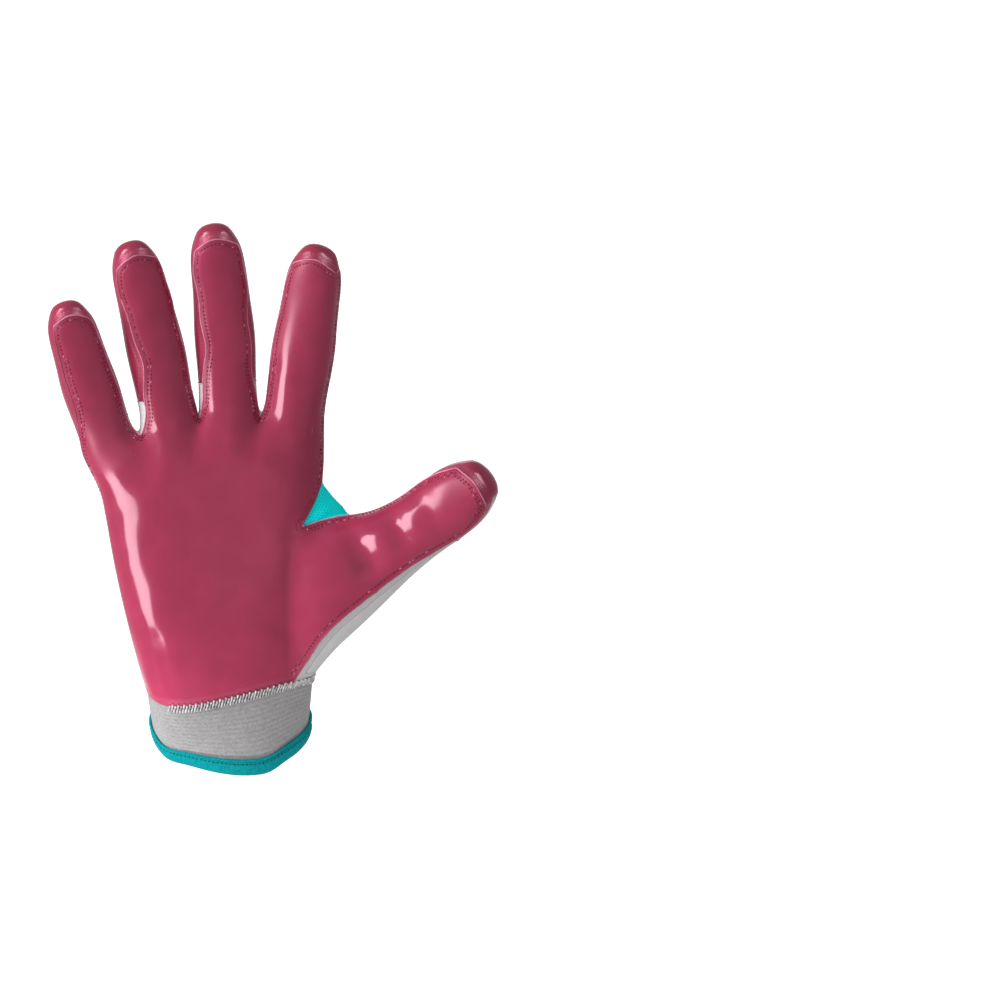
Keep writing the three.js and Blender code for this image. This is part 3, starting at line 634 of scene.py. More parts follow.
class Finish:
    """A material under construction, in millimetres."""

    def __init__(self, name, **sockets):
        self.material = bpy.data.materials.new(name)
        self.material.use_nodes = True
        self.tree = self.material.node_tree
        self.shader = self.tree.nodes["Principled BSDF"]
        for key, value in sockets.items():
            socket = key.replace("_", " ").title().replace("Ior", "IOR")
            self.shader.inputs[socket].default_value = value

    def add(self, kind, *values, **settings):
        """A node with its first inputs and its settings filled in."""
        node = self.tree.nodes.new(kind)
        for key, value in settings.items():
            setattr(node, key, value)
        for socket, value in zip(node.inputs, values):
            self.put(socket, value)
        return node

    def drive(self, name, value):
        """Links a value to the shader's socket."""
        self.put(self.shader.inputs[name], value)

    def put(self, socket, value):
        if isinstance(value, bpy.types.NodeSocket):
            self.tree.links.new(value, socket)
        else:
            socket.default_value = value

    def math(self, operation, *values):
        return self.add("ShaderNodeMath", *values, operation=operation).outputs[0]

    def product(self, *values):
        total = values[0]
        for value in values[1:]:
            total = self.math("MULTIPLY", total, value)
        return total

    def attribute(self, name):
        return self.add("ShaderNodeAttribute", attribute_name=name).outputs["Fac"]

    def place(self):
        """Where a point is, in millimetres."""
        coordinates = self.add("ShaderNodeTexCoord").outputs["Object"]
        scaled = self.add("ShaderNodeVectorMath", coordinates, operation="SCALE")
        scaled.inputs["Scale"].default_value = 1 / MM
        return scaled.outputs[0]

    def cloth(self):
        """Across and along the cloth's flat cut, in millimetres."""
        parts = self.add("ShaderNodeSeparateXYZ", self.add("ShaderNodeUVMap", uv_map="cloth_mm").outputs[0])
        return parts.outputs[0], parts.outputs[1]

    def noise(self, size, detail=2.0):
        """Soft noise from 0 to 1 with lumps of a size."""
        node = self.add("ShaderNodeTexNoise")
        self.put(node.inputs["Vector"], self.place())
        node.inputs["Scale"].default_value = 1 / size
        node.inputs["Detail"].default_value = detail
        return node.outputs["Fac"]

    def wave(self, value, pitch):
        """A sine from 0 to 1 that repeats at a pitch."""
        angle = self.math("MULTIPLY", self.math("DIVIDE", value, pitch), 2 * math.pi)
        return self.math("MULTIPLY_ADD", self.math("SINE", angle), 0.5, 0.5)

    def bell(self, value, centre, width):
        """1 at the centre, falling to 0 a width away."""
        distance = self.math("DIVIDE", self.math("SUBTRACT", value, centre), width)
        return self.math("EXPONENT", self.math("MULTIPLY", self.math("MULTIPLY", distance, distance), -1.0))

    def blend(self, share, low, high):
        node = self.add("ShaderNodeMix", data_type="RGBA")
        self.put(node.inputs["Factor"], share)
        self.put(node.inputs[6], low)
        self.put(node.inputs[7], high)
        return node.outputs[2]

    def fit(self, value, low, high, new_low=0.0, new_high=1.0):
        """A value's range fitted to a new one."""
        return self.add("ShaderNodeMapRange", value, low, high, new_low, new_high).outputs[0]

    def colour_by(self, share, base, low, high):
        """The base colour, darker to lighter with a share."""
        dark = (*(c * low for c in base), 1)
        light = (*(min(1.0, c * high) for c in base), 1)
        self.drive("Base Color", self.blend(share, dark, light))

    def relief(self, *heights):
        """Bump from heights in millimetres."""
        total = heights[0]
        for height in heights[1:]:
            total = self.math("ADD", total, height)
        bump = self.add("ShaderNodeBump")
        bump.inputs["Distance"].default_value = MM
        self.put(bump.inputs["Height"], total)
        self.drive("Normal", bump.outputs[0])


def silicone_finish(name, base, inset_mm, pitch_mm):
    """Glossy film on cloth, duller and pressed in along its stitches."""
    finish = Finish(
        name,
        ior=1.6,
        specular_tint=(1.0, 0.66, 0.75, 1),
        coat_weight=0.35,
        coat_roughness=0.04,
        coat_ior=1.5,
        coat_tint=(1, 0.93, 0.95, 1),
    )
    mottle = finish.noise(9.0, 4.0)
    finish.colour_by(finish.fit(mottle, 0.3, 0.7), base, 0.93, 1.06)
    edge = finish.attribute("edge_mm")
    along = finish.attribute("along_mm")
    pucker = finish.fit(finish.wave(along, pitch_mm), 0, 1, 0.55, 1)
    channel = finish.product(finish.bell(edge, inset_mm, 0.55), pucker, -0.16)
    gloss = finish.math("SUBTRACT", finish.fit(edge, inset_mm, 2.6 * inset_mm), finish.attribute("dull"))
    finish.drive("Roughness", finish.fit(gloss, 0, 1, 0.42, 0.16))
    finish.drive("Coat Roughness", finish.fit(gloss, 0, 1, 0.4, 0.04))
    waves = finish.product(finish.noise(16.0, 1.0), 0.25)
    skin = finish.product(finish.noise(1.1, 2.0), 0.012)
    finish.relief(channel, waves, skin)
    return finish.material


def cut_edge_finish(colours):
    """The pale, slightly frayed cut edge of the silicone cloth, shown pale partly as a painted highlight."""
    finish = Finish("cut_edge", roughness=0.4, ior=1.45)
    # Partly painted highlight: the edge shows its pale colour only where the stored share says, and is near
    # the silicone's colour elsewhere.
    share = finish.product(finish.fit(finish.noise(5.0, 3.0), 0.3, 0.55, 0.5, 1.0), finish.attribute("pale"))
    pale = (*colours.cut_edge, 1)
    dark = (*(0.15 * a + 0.85 * b for a, b in zip(colours.cut_edge, colours.silicone)), 1)
    finish.drive("Base Color", finish.blend(share, dark, pale))
    finish.relief(finish.product(finish.noise(0.5, 2.0), 0.12))
    return finish.material


def knit_finish(name, base, column=0.95, row=0.75, hem_shade_mm=0.0):
    """Plain jersey knit: columns of small V stitches, and painted shade along its seams if it has a hem."""
    finish = Finish(name, roughness=0.85, ior=1.45, sheen_weight=0.25, sheen_roughness=0.5)
    across, along = finish.cloth()
    turn = finish.math("FRACT", finish.math("DIVIDE", across, column))
    lean = finish.math("ABSOLUTE", finish.math("SUBTRACT", turn, 0.5))
    vees = finish.wave(finish.math("MULTIPLY_ADD", lean, 1.3 * row, along), row)
    groove = finish.fit(lean, 0.34, 0.5, 1.0, 0.0)
    stitch = finish.math("MULTIPLY", vees, groove)
    soft = finish.noise(12.0, 3.0)
    share = finish.math("MULTIPLY_ADD", stitch, 0.55, finish.math("MULTIPLY", soft, 0.45))
    heights = [finish.product(stitch, 0.1), finish.product(finish.noise(0.35, 2.0), 0.03)]
    if hem_shade_mm:
        # Painted shade: the knit is darker within the hem's width of its seams.
        inside = finish.fit(finish.attribute("edge_mm"), hem_shade_mm - 0.3, hem_shade_mm + 0.3)
        share = finish.math("MULTIPLY", share, finish.fit(inside, 0, 1, 0.35, 1.0))
        heights.append(finish.product(inside, -0.5))
    finish.colour_by(share, base, 0.7, 1.08)
    finish.relief(*heights)
    return finish.material


def mesh_finish(colours):
    """Teal warp mesh with small round holes."""
    finish = Finish("web_mesh", roughness=0.8, specular_ior_level=0.15)
    across, along = finish.cloth()
    waves = []
    for degrees in (0, 60, 120):
        c, s = math.cos(math.radians(degrees)), math.sin(math.radians(degrees))
        slanted = finish.math("MULTIPLY_ADD", across, c, finish.math("MULTIPLY", along, s))
        waves.append(finish.wave(slanted, 1.15))
    total = finish.math("ADD", finish.math("ADD", waves[0], waves[1]), waves[2])
    thread = finish.fit(total, 0.55, 1.1)
    finish.colour_by(thread, colours.mesh, 0.8, 1.1)
    finish.relief(finish.product(thread, 0.16), finish.product(finish.noise(0.3, 2.0), 0.03))
    return finish.material


def cuff_finish(colours):
    """Elastic knit. The ribs round the cuff are in its mesh, with painted shade in their grooves, and fine
    stitches cross them.
    """
    finish = Finish("cuff_rib", roughness=0.8, ior=1.45, sheen_weight=0.3, sheen_roughness=0.5)
    rib = finish.attribute("rib")
    stitch = finish.wave(finish.attribute("along_mm"), 0.9)
    fleck = finish.fit(finish.noise(0.9, 3.0), 0.3, 0.7)
    # Painted shade: rib tops lighter and the grooves between them darker, in patches.
    patchy_rib_shade = finish.math("MULTIPLY", rib, finish.noise(7.0))
    share = finish.math("MULTIPLY_ADD", patchy_rib_shade, 0.6, finish.product(fleck, 0.7))
    finish.colour_by(share, colours.cuff, 0.76, 1.3)
    finish.relief(finish.product(stitch, 0.05), finish.product(finish.noise(0.4, 2.0), 0.14))
    return finish.material


def tape_finish(colours):
    """Folded tape with fine ribs across it."""
    finish = Finish("edge_tape", roughness=0.7, specular_ior_level=0.12)
    rib = finish.wave(finish.attribute("along_mm"), 0.75)
    fleck = finish.fit(finish.noise(1.0, 3.0), 0.3, 0.7)
    share = finish.math("MULTIPLY_ADD", rib, 0.35, finish.math("MULTIPLY", fleck, 0.65))
    finish.colour_by(share, colours.tape, 0.68, 1.25)
    finish.relief(finish.product(rib, 0.09), finish.product(finish.noise(0.5, 2.0), 0.08))
    return finish.material


def thread_finish(name, base, roughness=0.55, painted_glint=None):
    """Twisted sewing thread, here and there with a pale painted glint."""
    finish = Finish(name, roughness=roughness, specular_ior_level=0.2)
    if painted_glint:
        # Painted glints: pale specks of highlight spread over the thread by noise.
        share = finish.fit(finish.noise(1.6, 1.0), 0.56, 0.64)
        finish.drive("Base Color", finish.blend(share, (*base, 1), (*painted_glint, 1)))
    else:
        finish.colour_by(finish.fit(finish.noise(1.4), 0.35, 0.65), base, 0.55, 1.3)
    finish.relief(finish.product(finish.noise(0.25, 2.0), 0.05))
    return finish.material


def reverse_finish():
    """The cloths' plain inner side."""
    finish = Finish("reverse_side", roughness=0.9, ior=1.45)
    finish.colour_by(finish.noise(0.8, 3.0), srgb("c9c6c8"), 0.85, 1.05)
    finish.relief(finish.product(finish.noise(0.5, 2.0), 0.08))
    return finish.material


def finishes(*names):
    return [finish_named(name) for name in names]


def finish_named(name):
    """A finish of this glove, made once."""
    known = bpy.data.materials.get(name)
    if known:
        return known
    colours = bpy.context.scene.glove_colours
    sizes = bpy.context.scene.glove_sizes
    row, pitch = sizes.row_inset / MM, sizes.stitch_pitch / MM
    makers = {
        "palm_film": lambda: silicone_finish("palm_film", colours.silicone, row, pitch),
        "strip_film": lambda: silicone_finish("strip_film", colours.strip, row, pitch),
        "cut_edge": lambda: cut_edge_finish(colours),
        "back_jersey": lambda: knit_finish("back_jersey", colours.back),
        "grey_jersey": lambda: knit_finish("grey_jersey", colours.grey, 0.85, 0.7),
        # The knit beside the thumb, with painted shade along its seams.
        "side_jersey": lambda: knit_finish("side_jersey", colours.grey, 0.85, 0.7, hem_shade_mm=3.2),
        "web_mesh": lambda: mesh_finish(colours),
        "cuff_rib": lambda: cuff_finish(colours),
        "edge_tape": lambda: tape_finish(colours),
        # The palm's thread gets pale painted glints in the cut edge's colour.
        "palm_thread": lambda: thread_finish("palm_thread", colours.thread, 0.7, colours.cut_edge),
        "seam_thread": lambda: thread_finish("seam_thread", colours.overlock),
        # Near-black thread: painted shade under the overlock's strokes.
        "painted_shade_thread": lambda: thread_finish("painted_shade_thread", tuple(0.16 * c for c in colours.overlock)),
        "tape_thread": lambda: thread_finish("tape_thread", tuple(0.35 * c for c in colours.tape)),
        "reverse_side": reverse_finish,
    }
    return makers[name]()


# Operators, in the order that the glove is made


class GlovePalm(bpy.types.Operator):
    """Make the silicone palm, finger fronts and thumb front, in one panel"""

    bl_idname = "glove.palm"
    bl_label = "Palm"

    def execute(self, context):
        palm = make_panel("palm_panel", finishes("palm_film", "cut_edge", "reverse_side"))
        relax_flats(palm)
        press_folds(palm)
        mark_dull(palm)
        return {"FINISHED"}


class GloveStrips(bpy.types.Operator):
    """Make the silicone strips round the fingers' sides and tips"""

    bl_idname = "glove.strips"
    bl_label = "Side strips"

    def execute(self, context):
        for node in STRIPS:
            make_panel(node, finishes("strip_film", "strip_film", "reverse_side"))
        return {"FINISHED"}


class GloveKnits(bpy.types.Operator):
    """Make the knit back and the knit and mesh gussets"""

    bl_idname = "glove.knits"
    bl_label = "Back and gussets"

    def execute(self, context):
        rows = [
            ("back_panel", "back_knit", "back_jersey"),
            *((node, "grey_knit", "grey_jersey") for node in CROTCHES),
            ("thumb_side_gusset", "grey_knit", "side_jersey"),
            ("thumb_gusset", "teal_mesh", "web_mesh"),
        ]
        for node, slot, name in rows:
            make_panel(node, finishes(name, name, "reverse_side"))
        return {"FINISHED"}


def cuff_lines(piece):
    """The cuff's wrist seam and its mouth, as lines."""
    lines = borders(piece)[:2]
    return sorted(lines, key=lambda line: -line.points[:, 2].mean())


def made(node):
    """The piece that stands for a node."""
    return bpy.data.objects[PANELS[node][0]]


def wrist_tree():
    """A search tree of the wrist seam."""
    return tree_of(cuff_lines(made("cuff"))[0].resample(STEP).points)


class GloveCuff(bpy.types.Operator):
    """Make the elastic cuff with its ribs"""

    bl_idname = "glove.cuff"
    bl_label = "Cuff"
    CUTS = 11  # across each face up the cuff, so that it has points enough for the ribs

    def execute(self, context):
        sizes = context.scene.glove_sizes
        name, facing, thickness, crease = PANELS["cuff"]
        piece = copy_node("cuff", name)
        mark_sides(piece, facing, thickness, crease)
        subdivide(piece, sizes.levels)
        self.divide_rows(piece)
        seam, mouth = cuff_lines(piece)
        measure_edges(piece, [seam])
        self.raise_ribs(piece, seam, mouth, sizes)
        finish_piece(piece, finishes("cuff_rib", "cuff_rib", "reverse_side"), ["cuff"])
        return {"FINISHED"}

    def divide_rows(self, piece):
        """Divides the face's edges that run up the cuff."""
        select_only(piece)
        bpy.ops.object.mode_set(mode="EDIT")
        bpy.ops.mesh.select_mode(type="EDGE")
        bpy.ops.mesh.select_all(action="DESELECT")
        mesh = bmesh.from_edit_mesh(piece.data)
        for edge in mesh.edges:
            sides = [face.material_index for face in edge.link_faces]
            up = (edge.verts[0].co - edge.verts[1].co).normalized()
            edge.select_set(sides == [OUTER, OUTER] and abs(up.z) > 0.75)
        bmesh.update_edit_mesh(piece.data)
        bpy.ops.mesh.subdivide(number_cuts=self.CUTS, smoothness=0)
        bpy.ops.object.mode_set(mode="OBJECT")

    @staticmethod
    def raise_ribs(piece, seam, mouth, sizes):
        """Presses grooves round the cuff between its wrist seam and its mouth."""
        mesh = piece.data
        outer, points = on_side(mesh, OUTER), points_of(mesh)
        below, above = (distances(tree_of(line.resample(FINE_STEP).points), points) for line in (seam, mouth))
        tall = np.median((below + above)[outer])
        height = below / (below + above) * tall
        wave = 0.5 + 0.5 * np.cos(2 * np.pi * height / sizes.rib_pitch)
        fade = np.clip(np.minimum(below, above) / (1.5 * MM), 0, 1)
        sunk = sizes.rib_depth * (1 - wave**0.7) * fade * outer
        mesh.vertices.foreach_set("co", (points - normals_of(mesh) * sunk[:, None]).ravel())
        # The rib's height is kept for the finish, which paints shade into the grooves from it.
        store(piece, "rib", wave)


class GloveTape(bpy.types.Operator):
    """Make the folded tape at the cuff's edge, with its lapped end and its stitches"""

    bl_idname = "glove.tape"
    bl_label = "Edge tape"
    LAP_END, LAP_LENGTH, LAP_RISE = 32 * MM, 11 * MM, 0.5 * MM  # x of its end, its length along x, its height
    ROW_HEIGHT, FOLD_HEIGHT = 4.7 * MM, 5.9 * MM  # of the stitches and of the fold, above the cuff's edge
    FOLD_RADIUS, FOLD_LIFT = 0.65 * MM, 0.75 * MM
    STITCH_PITCH, STITCH_LENGTH, STITCH_RADIUS, STITCH_LIFT = 1.7 * MM, 1.2 * MM, 0.26 * MM, 0.2

    def execute(self, context):
        piece = copy_node("cuff_binding", "edge_tape")
        subdivide(piece, context.scene.glove_sizes.levels)
        self.lap_end(piece)
        cuff = made("cuff")
        mouth = cuff_lines(cuff)[1].resample(STEP).smoothed(10)
        measure_edges(piece, [mouth])
        finish_piece(piece, finishes("edge_tape"), ["cuff_binding"])
        surface = BVHTree.FromObject(piece, context.evaluated_depsgraph_get())
        row = self.above_mouth(mouth, surface, self.ROW_HEIGHT)
        upper = self.above_mouth(mouth, face_tree(cuff), self.FOLD_HEIGHT)
        run = (upper.points + upper.normals * self.FOLD_LIFT, True)
        fold = thread_piece("tape_fold", [run], self.FOLD_RADIUS, roundness=2)
        measure_edges(fold, [mouth])
        finish_piece(fold, finishes("edge_tape"))
        sizes_of_one = (self.STITCH_PITCH, self.STITCH_LENGTH, self.STITCH_RADIUS, self.STITCH_LIFT)
        stitches = stitch_piece("tape_stitches", [row], *sizes_of_one)
        finish_piece(stitches, finishes("tape_thread"))
        return {"FINISHED"}

    def lap_end(self, piece):
        """Lays the tape's last stretch over its start, up to an end across the tape on the palm side."""
        mesh = piece.data
        points, normals = points_of(mesh), normals_of(mesh)
        middle = points.mean(axis=0)
        outer = np.sum(normals[:, :2] * (points - middle)[:, :2], axis=1) > 0
        before = self.LAP_END - points[:, 0]
        share = np.where(before < 0, 0, np.clip((self.LAP_LENGTH - before) / (0.4 * self.LAP_LENGTH), 0, 1))
        share *= outer * (points[:, 1] < middle[1])
        mesh.vertices.foreach_set("co", (points + normals * (self.LAP_RISE * share)[:, None]).ravel())

    @staticmethod
    def above_mouth(mouth, surface, height):
        """A line on the tape's or the cuff's face, at a height above the cuff's edge."""
        points, normals = [], []
        for point, normal, up in zip(mouth.points, mouth.normals, mouth.inwards):
            spot, found, _, _ = surface.find_nearest(Vector(point + up * height + normal * 2 * MM))
            points.append(spot[:])
            normals.append(found[:])
        return Line(points, normals, mouth.inwards).resample(STEP).smoothed(6)


class GloveCutEdges(bpy.types.Operator):
    """Make the palm's pale cut edge and the ridges of the other seams"""

    bl_idname = "glove.cut_edges"
    bl_label = "Cut edges and seams"
    RIDGE_RADIUS = 0.3 * MM
    SEAM_APART = 0.9 * MM  # from one ridge to another, or else they are the same seam
    EDGE_CLEAR, BACK_CLEAR, GUSSET_CLEAR = 1.6 * MM, 2.5 * MM, 2 * MM  # of the wrist seam

    def execute(self, context):
        wrist = wrist_tree()
        line = borders(made("palm_panel"))[0].resample(0.7 * MM).smoothed(2)
        frayed = Line(self.fray(line), line.normals, line.inwards)
        clear = distances(wrist, frayed.points) > self.EDGE_CLEAR
        runs = [(run.points, run.is_closed) for run in frayed.where(clear)]
        radius = context.scene.glove_sizes.edge_radius
        edge = thread_piece("palm_cut_edge", runs, radius, wobble=0.12, seed=3)
        self.mark_pale_highlight(edge, line)
        finish_piece(edge, finishes("cut_edge"))
        runs = self.ridges(wrist, frayed)
        ridges = thread_piece("seam_ridges", runs, self.RIDGE_RADIUS, wobble=0.1, seed=4)
        finish_piece(ridges, finishes("seam_thread"))
        return {"FINISHED"}

    @staticmethod
    def fray(line, window=9):
        """The line's points, drifting a little across the edge."""
        count = len(line.points)
        chance = np.random.default_rng(7).normal(0, 1, count + window - 1)
        drift = np.convolve(chance, np.ones(window) / window, "valid")[:count]
        return line.points + line.inwards * (drift[:, None] * 0.25 * MM) - line.normals * 0.05 * MM

    def ridges(self, wrist, frayed):
        """Runs along the seams of the back, and along the gussets' where none runs yet."""
        runs = []
        for border in borders(made("back_panel")):
            fine = border.resample(0.8 * MM).smoothed(3)
            clear = distances(wrist, fine.points) > self.BACK_CLEAR
            runs += [(run.points - run.normals * 0.1 * MM, run.is_closed) for run in fine.where(clear)]
        taken = tree_of(np.vstack([frayed.points, *(points for points, _ in runs)]))
        for node in [*CROTCHES, "thumb_gusset", "thumb_side_gusset"]:
            for border in borders(made(node)):
                fine = border.resample(0.6 * MM).smoothed(2)
                is_free = distances(taken, fine.points) > self.SEAM_APART
                clear = is_free & (distances(wrist, fine.points) > self.GUSSET_CLEAR)
                runs += [(run.points, run.is_closed) for run in fine.where(clear)]
        return runs

    @staticmethod
    def mark_pale_highlight(edge, line):
        """Stores how pale the edge is, partly a painted highlight where the edge faces up and to the left:
        most over the tips and down the left of the two middle fingers.
        """
        tree = tree_of(line.points)
        found = [tree.find(v.co)[1] for v in edge.data.vertices]
        places, inwards = line.points[found] / MM, line.inwards[found]
        tips = np.clip(-1.6 * inwards[:, 2], 0, 1)
        flanks = (inwards[:, 0] > 0.3) & (np.abs(places[:, 0] + 16) < 26) & (places[:, 2] > 128)
        store(edge, "pale", np.maximum(tips, 0.9 * flanks))


class GloveStitches(bpy.types.Operator):
    """Sew the palm panel down: one row of stitches round it, and a second at its sides and crotches"""

    bl_idname = "glove.stitches"
    bl_label = "Palm stitches"
    WRIST_CLEAR = 5 * MM
    THUMB_LEFT = 28 * MM  # x past which a line is the thumb's
    SECOND_TOP = 150 * MM  # z up to which the second row runs

    def execute(self, context):
        sizes = context.scene.glove_sizes
        palm, wrist = made("palm_panel"), wrist_tree()
        surface, border = face_tree(palm), borders(palm)[0]
        rows = []
        for distance, is_second in ((sizes.row_inset, False), (sizes.second_row, True)):
            row = inset(border, distance, surface)
            clear = distances(wrist, row.points) > self.WRIST_CLEAR
            if is_second:
                is_thumb_outside = (row.points[:, 0] > self.THUMB_LEFT) & (row.inwards[:, 2] > 0.2)
                clear &= (row.points[:, 2] < self.SECOND_TOP) & ~is_thumb_outside
            rows += row.where(clear)
        stitches = stitch_piece("palm_stitches", rows, sizes.stitch_pitch, sizes.stitch_length, sizes.thread)
        finish_piece(stitches, finishes("palm_thread"))
        return {"FINISHED"}


class GloveOverlock(bpy.types.Operator):
    """Make the overlock that joins the cuff to the palm and the back"""

    bl_idname = "glove.overlock"
    bl_label = "Wrist overlock"
    OVER_EDGE = 0.3  # share of the band that lies over the palm's and the back's edge
    STROKE_RADIUS, STROKE_LIFT = 0.4 * MM, 0.42 * MM
    # Rows of near-black thread under the strokes: painted shade in the gaps between them and below the band.
    BED_RADIUS, BED_ROWS = 0.34 * MM, (0.2, 0.45, 0.7, 0.95)  # the rows' places across the band
    SLOPE_RIGHT = -24 * MM  # x up to which the palm meets the cuff plainly

    def execute(self, context):
        sizes = context.scene.glove_sizes
        seam = cuff_lines(made("cuff"))[0].resample(STEP).smoothed(8)
        nodes = ("palm_panel", "back_panel", "thumb_side_gusset", "cuff")
        surfaces = [face_tree(made(node)) for node in nodes]
        stretches = seam.where(~self.plain_slope(seam))
        strokes = []
        for stretch in stretches:
            strokes += self.strokes(stretch.resample(sizes.overlock_pitch), surfaces, sizes)
        light = thread_piece("overlock_strokes", strokes, self.STROKE_RADIUS, wobble=0.12, seed=5)
        finish_piece(light, finishes("seam_thread"))
        # Painted shade: dark threads laid under the strokes.
        shade_runs = []
        for share in self.BED_ROWS:
            for stretch in stretches:
                fine = stretch.resample(0.6 * MM)
                shares = np.full(len(fine.points), share)
                shade_runs.append((self.on_cloth(fine, surfaces, sizes, shares, 0.0), False))
        dark = thread_piece("overlock_bed", shade_runs, self.BED_RADIUS)
        finish_piece(dark, finishes("painted_shade_thread"))
        return {"FINISHED"}

    def plain_slope(self, seam):
        """Where no overlock shows: low on the palm's little finger side."""
        middle = seam.points.mean(axis=0)
        return (seam.points[:, 0] < self.SLOPE_RIGHT) & (seam.points[:, 1] < middle[1])

    def on_cloth(self, line, surfaces, sizes, shares, lift):
        """Points on the cloth, across the band from its top (0) down onto the cuff (1)."""
        heights = (self.OVER_EDGE - shares) * sizes.overlock_width
        places = line.points - line.inwards * heights[:, None]
        points = []
        for place in places:
            hits = [surface.find_nearest(place) for surface in surfaces]
            spot, normal, _, _ = min(hits, key=lambda hit: hit[3])
            points.append((spot + normal * lift)[:])
        return np.array(points)

    def strokes(self, line, surfaces, sizes, steps=6, slant=1.1, spike=0.22):
        """Threads across the band, each a little slanted, every second one a little longer at its top."""
        tangents = line.tangents()
        runs = []
        for i in range(len(line.points)):
            shares = np.linspace(-spike * (i % 2), 1, steps)
            lean = (shares - 0.5)[:, None] * slant * sizes.overlock_pitch * tangents[i]
            normals, inwards = (np.repeat(own[i : i + 1], steps, 0) for own in (line.normals, line.inwards))
            stretch = Line(line.points[i] + lean, normals, inwards, False)
            runs.append((self.on_cloth(stretch, surfaces, sizes, shares, self.STROKE_LIFT), False))
        return runs


def group_of(name, pieces):
    """A collection that holds what a lamp lights."""
    group = bpy.data.collections.new(name)
    for piece in pieces:
        group.objects.link(piece)
    return group


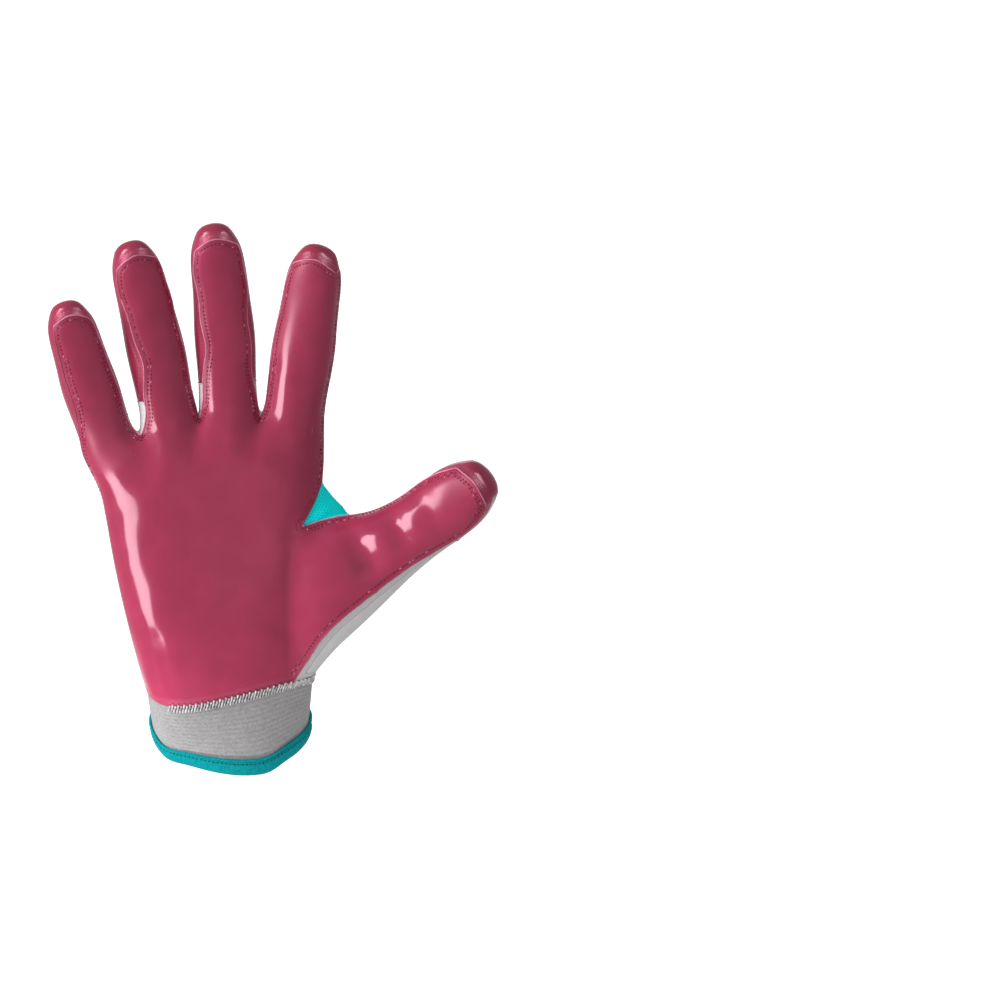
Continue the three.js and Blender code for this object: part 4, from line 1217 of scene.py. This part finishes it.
class GloveStage(bpy.types.Operator):
    """Set the pale floor and backdrop, the soft boxes and the camera"""

    bl_idname = "glove.stage"
    bl_label = "Stage"

    def execute(self, context):
        self.backdrop()
        self.lights(context)
        self.camera(context)
        return {"FINISHED"}

    @staticmethod
    def backdrop():
        """A floor that turns up into a wall, in metres, and glows far behind the glove."""
        floor, wall, bend, half_width = -0.32, 3.2, 0.6, 4
        front, top, steps = -3.0, 3.0, 12
        profile = [(front, floor)]
        for i in range(steps + 1):
            angle = math.pi / 2 * i / steps
            profile.append((wall - bend * (1 - math.sin(angle)), floor + bend * (1 - math.cos(angle))))
        profile.append((wall, top))
        mesh = bmesh.new()
        rows = [[mesh.verts.new((x, y, z)) for x in (-half_width, half_width)] for y, z in profile]
        for a, b in zip(rows, rows[1:]):
            mesh.faces.new((a[0], a[1], b[1], b[0]))
        bpy.ops.object.select_all(action="DESELECT")
        bpy.ops.mesh.primitive_plane_add(size=1, location=(0, 0, 0))
        sweep = bpy.context.object
        sweep.name = "sweep"
        mesh.to_mesh(sweep.data)
        mesh.free()
        paper = Finish("paper", base_color=(0.9, 0.9, 0.9, 1), roughness=0.9, emission_color=(1, 1, 1, 1))
        place = paper.add("ShaderNodeSeparateXYZ", paper.add("ShaderNodeTexCoord").outputs["Object"])
        glow = paper.fit(place.outputs["Y"], 0.3, 0.8, 0.0, 0.85)
        near = paper.fit(paper.math("ABSOLUTE", place.outputs["X"]), 0.8, 1.4, 1.0, 0.1)
        paper.drive("Emission Strength", paper.product(glow, near))
        sweep.data.materials.append(paper.material)
        select_only(sweep)
        bpy.ops.object.shade_smooth()

    @staticmethod
    def lights(context):
        """A dim room and soft boxes that light the glove alone, three of them only a part of it."""
        glove = [piece for piece in context.scene.objects if piece.type == "MESH" and piece.name != "sweep"]
        lit = group_of("lit_by_lamps", glove)
        strips = group_of("lit_by_cap_lamps", [made(node) for node in STRIPS])
        palm = group_of("lit_by_heel_lamp", [made("palm_panel")])
        receivers = {"heel": palm, "cap_left": strips, "cap_right": strips}
        world = bpy.data.worlds.new("studio")
        context.scene.world = world
        world.use_nodes = True
        background = world.node_tree.nodes["Background"]
        background.inputs["Color"].default_value = (1, 0.99, 1, 1)
        background.inputs["Strength"].default_value = 0.27
        # Name, place, target, width and height in metres, power in watts, whether it lights softly, and
        # whether it shows in the gloss
        boxes = (
            ("left_strip", (-0.65, -0.55, 0.03), (0, 0, 0.03), 0.3, 0.46, 3.6, False, True),
            ("key", (-1.6, -0.65, 0.4), (0.02, 0, 0.08), 0.9, 0.9, 42, True, False),
            ("front", (0.2, -2.0, 0.5), (0.02, 0, 0.08), 0.9, 0.9, 9, True, False),
            ("fill", (1.0, -1.2, -0.5), (0, 0, 0.08), 0.8, 0.8, 7, True, False),
            ("cap_left", (-0.62, -0.42, 0.62), (-0.02, 0, 0.2), 0.26, 0.6, 5.0, False, True),
            ("cap_right", (0.64, -0.42, 0.62), (0, 0, 0.2), 0.26, 0.6, 4.2, False, True),
            ("heel", (-0.1, -0.06, -0.14), (-0.01, -0.03, 0.03), 0.16, 0.06, 0.42, True, False),
            ("low", (-0.01, -0.07, -0.15), (0, -0.03, 0.04), 0.3, 0.06, 0.2, True, False),
            ("top", (0, 0.1, 1.3), (0, 0, 0.1), 0.8, 0.8, 3, True, False),
        )
        for name, place, target, width, height, power, is_soft, is_gloss in boxes:
            data = bpy.data.lights.new(name, "AREA")
            data.shape = "RECTANGLE"
            data.size, data.size_y, data.energy = width, height, power
            lamp = bpy.data.objects.new(name, data)
            lamp.location = place
            lamp.visible_camera = False
            lamp.visible_diffuse = is_soft
            lamp.visible_glossy = is_gloss
            lamp.light_linking.receiver_collection = receivers.get(name, lit)
            lamp.rotation_euler = (Vector(target) - Vector(place)).to_track_quat("-Z", "Y").to_euler()
            context.scene.collection.objects.link(lamp)

    @staticmethod
    def camera(context):
        """A long lens straight in front of the palm, in metres and millimetres."""
        data = bpy.data.cameras.new("camera")
        data.sensor_width = 36
        data.lens = 198
        data.clip_end = 20
        camera = bpy.data.objects.new("camera", data)
        camera.location = (0.1084, -2.225, 0.0938)
        camera.rotation_euler = (math.pi / 2, 0, 0)
        context.scene.collection.objects.link(camera)
        context.scene.camera = camera
        context.scene.view_settings.view_transform = "Standard"


class GlovePanel(bpy.types.Panel):
    """Lists the glove's sizes, colours and the steps that make it"""

    bl_idname = "VIEW3D_PT_glove"
    bl_label = "Receiver glove"
    bl_space_type = "VIEW_3D"
    bl_region_type = "UI"
    bl_category = "Glove"

    def draw(self, context):
        for settings in (context.scene.glove_sizes, context.scene.glove_colours):
            box = self.layout.box()
            for key in settings.__annotations__:
                box.prop(settings, key)
        for step in STEPS:
            self.layout.operator(step.bl_idname)


STEPS = [
    GlovePalm,
    GloveStrips,
    GloveKnits,
    GloveCuff,
    GloveTape,
    GloveCutEdges,
    GloveStitches,
    GloveOverlock,
    GloveStage,
]
CLASSES = [GloveSizes, GloveColours, *STEPS, GlovePanel]


def register():
    for cls in CLASSES:
        bpy.utils.register_class(cls)
    bpy.types.Scene.glove_sizes = PointerProperty(type=GloveSizes)
    bpy.types.Scene.glove_colours = PointerProperty(type=GloveColours)


def unregister():
    del bpy.types.Scene.glove_sizes
    del bpy.types.Scene.glove_colours
    for cls in reversed(CLASSES):
        bpy.utils.unregister_class(cls)


def main():
    register()
    for step in STEPS:
        area, name = step.bl_idname.split(".")
        getattr(getattr(bpy.ops, area), name)()


if __name__ == "__main__":
    main()
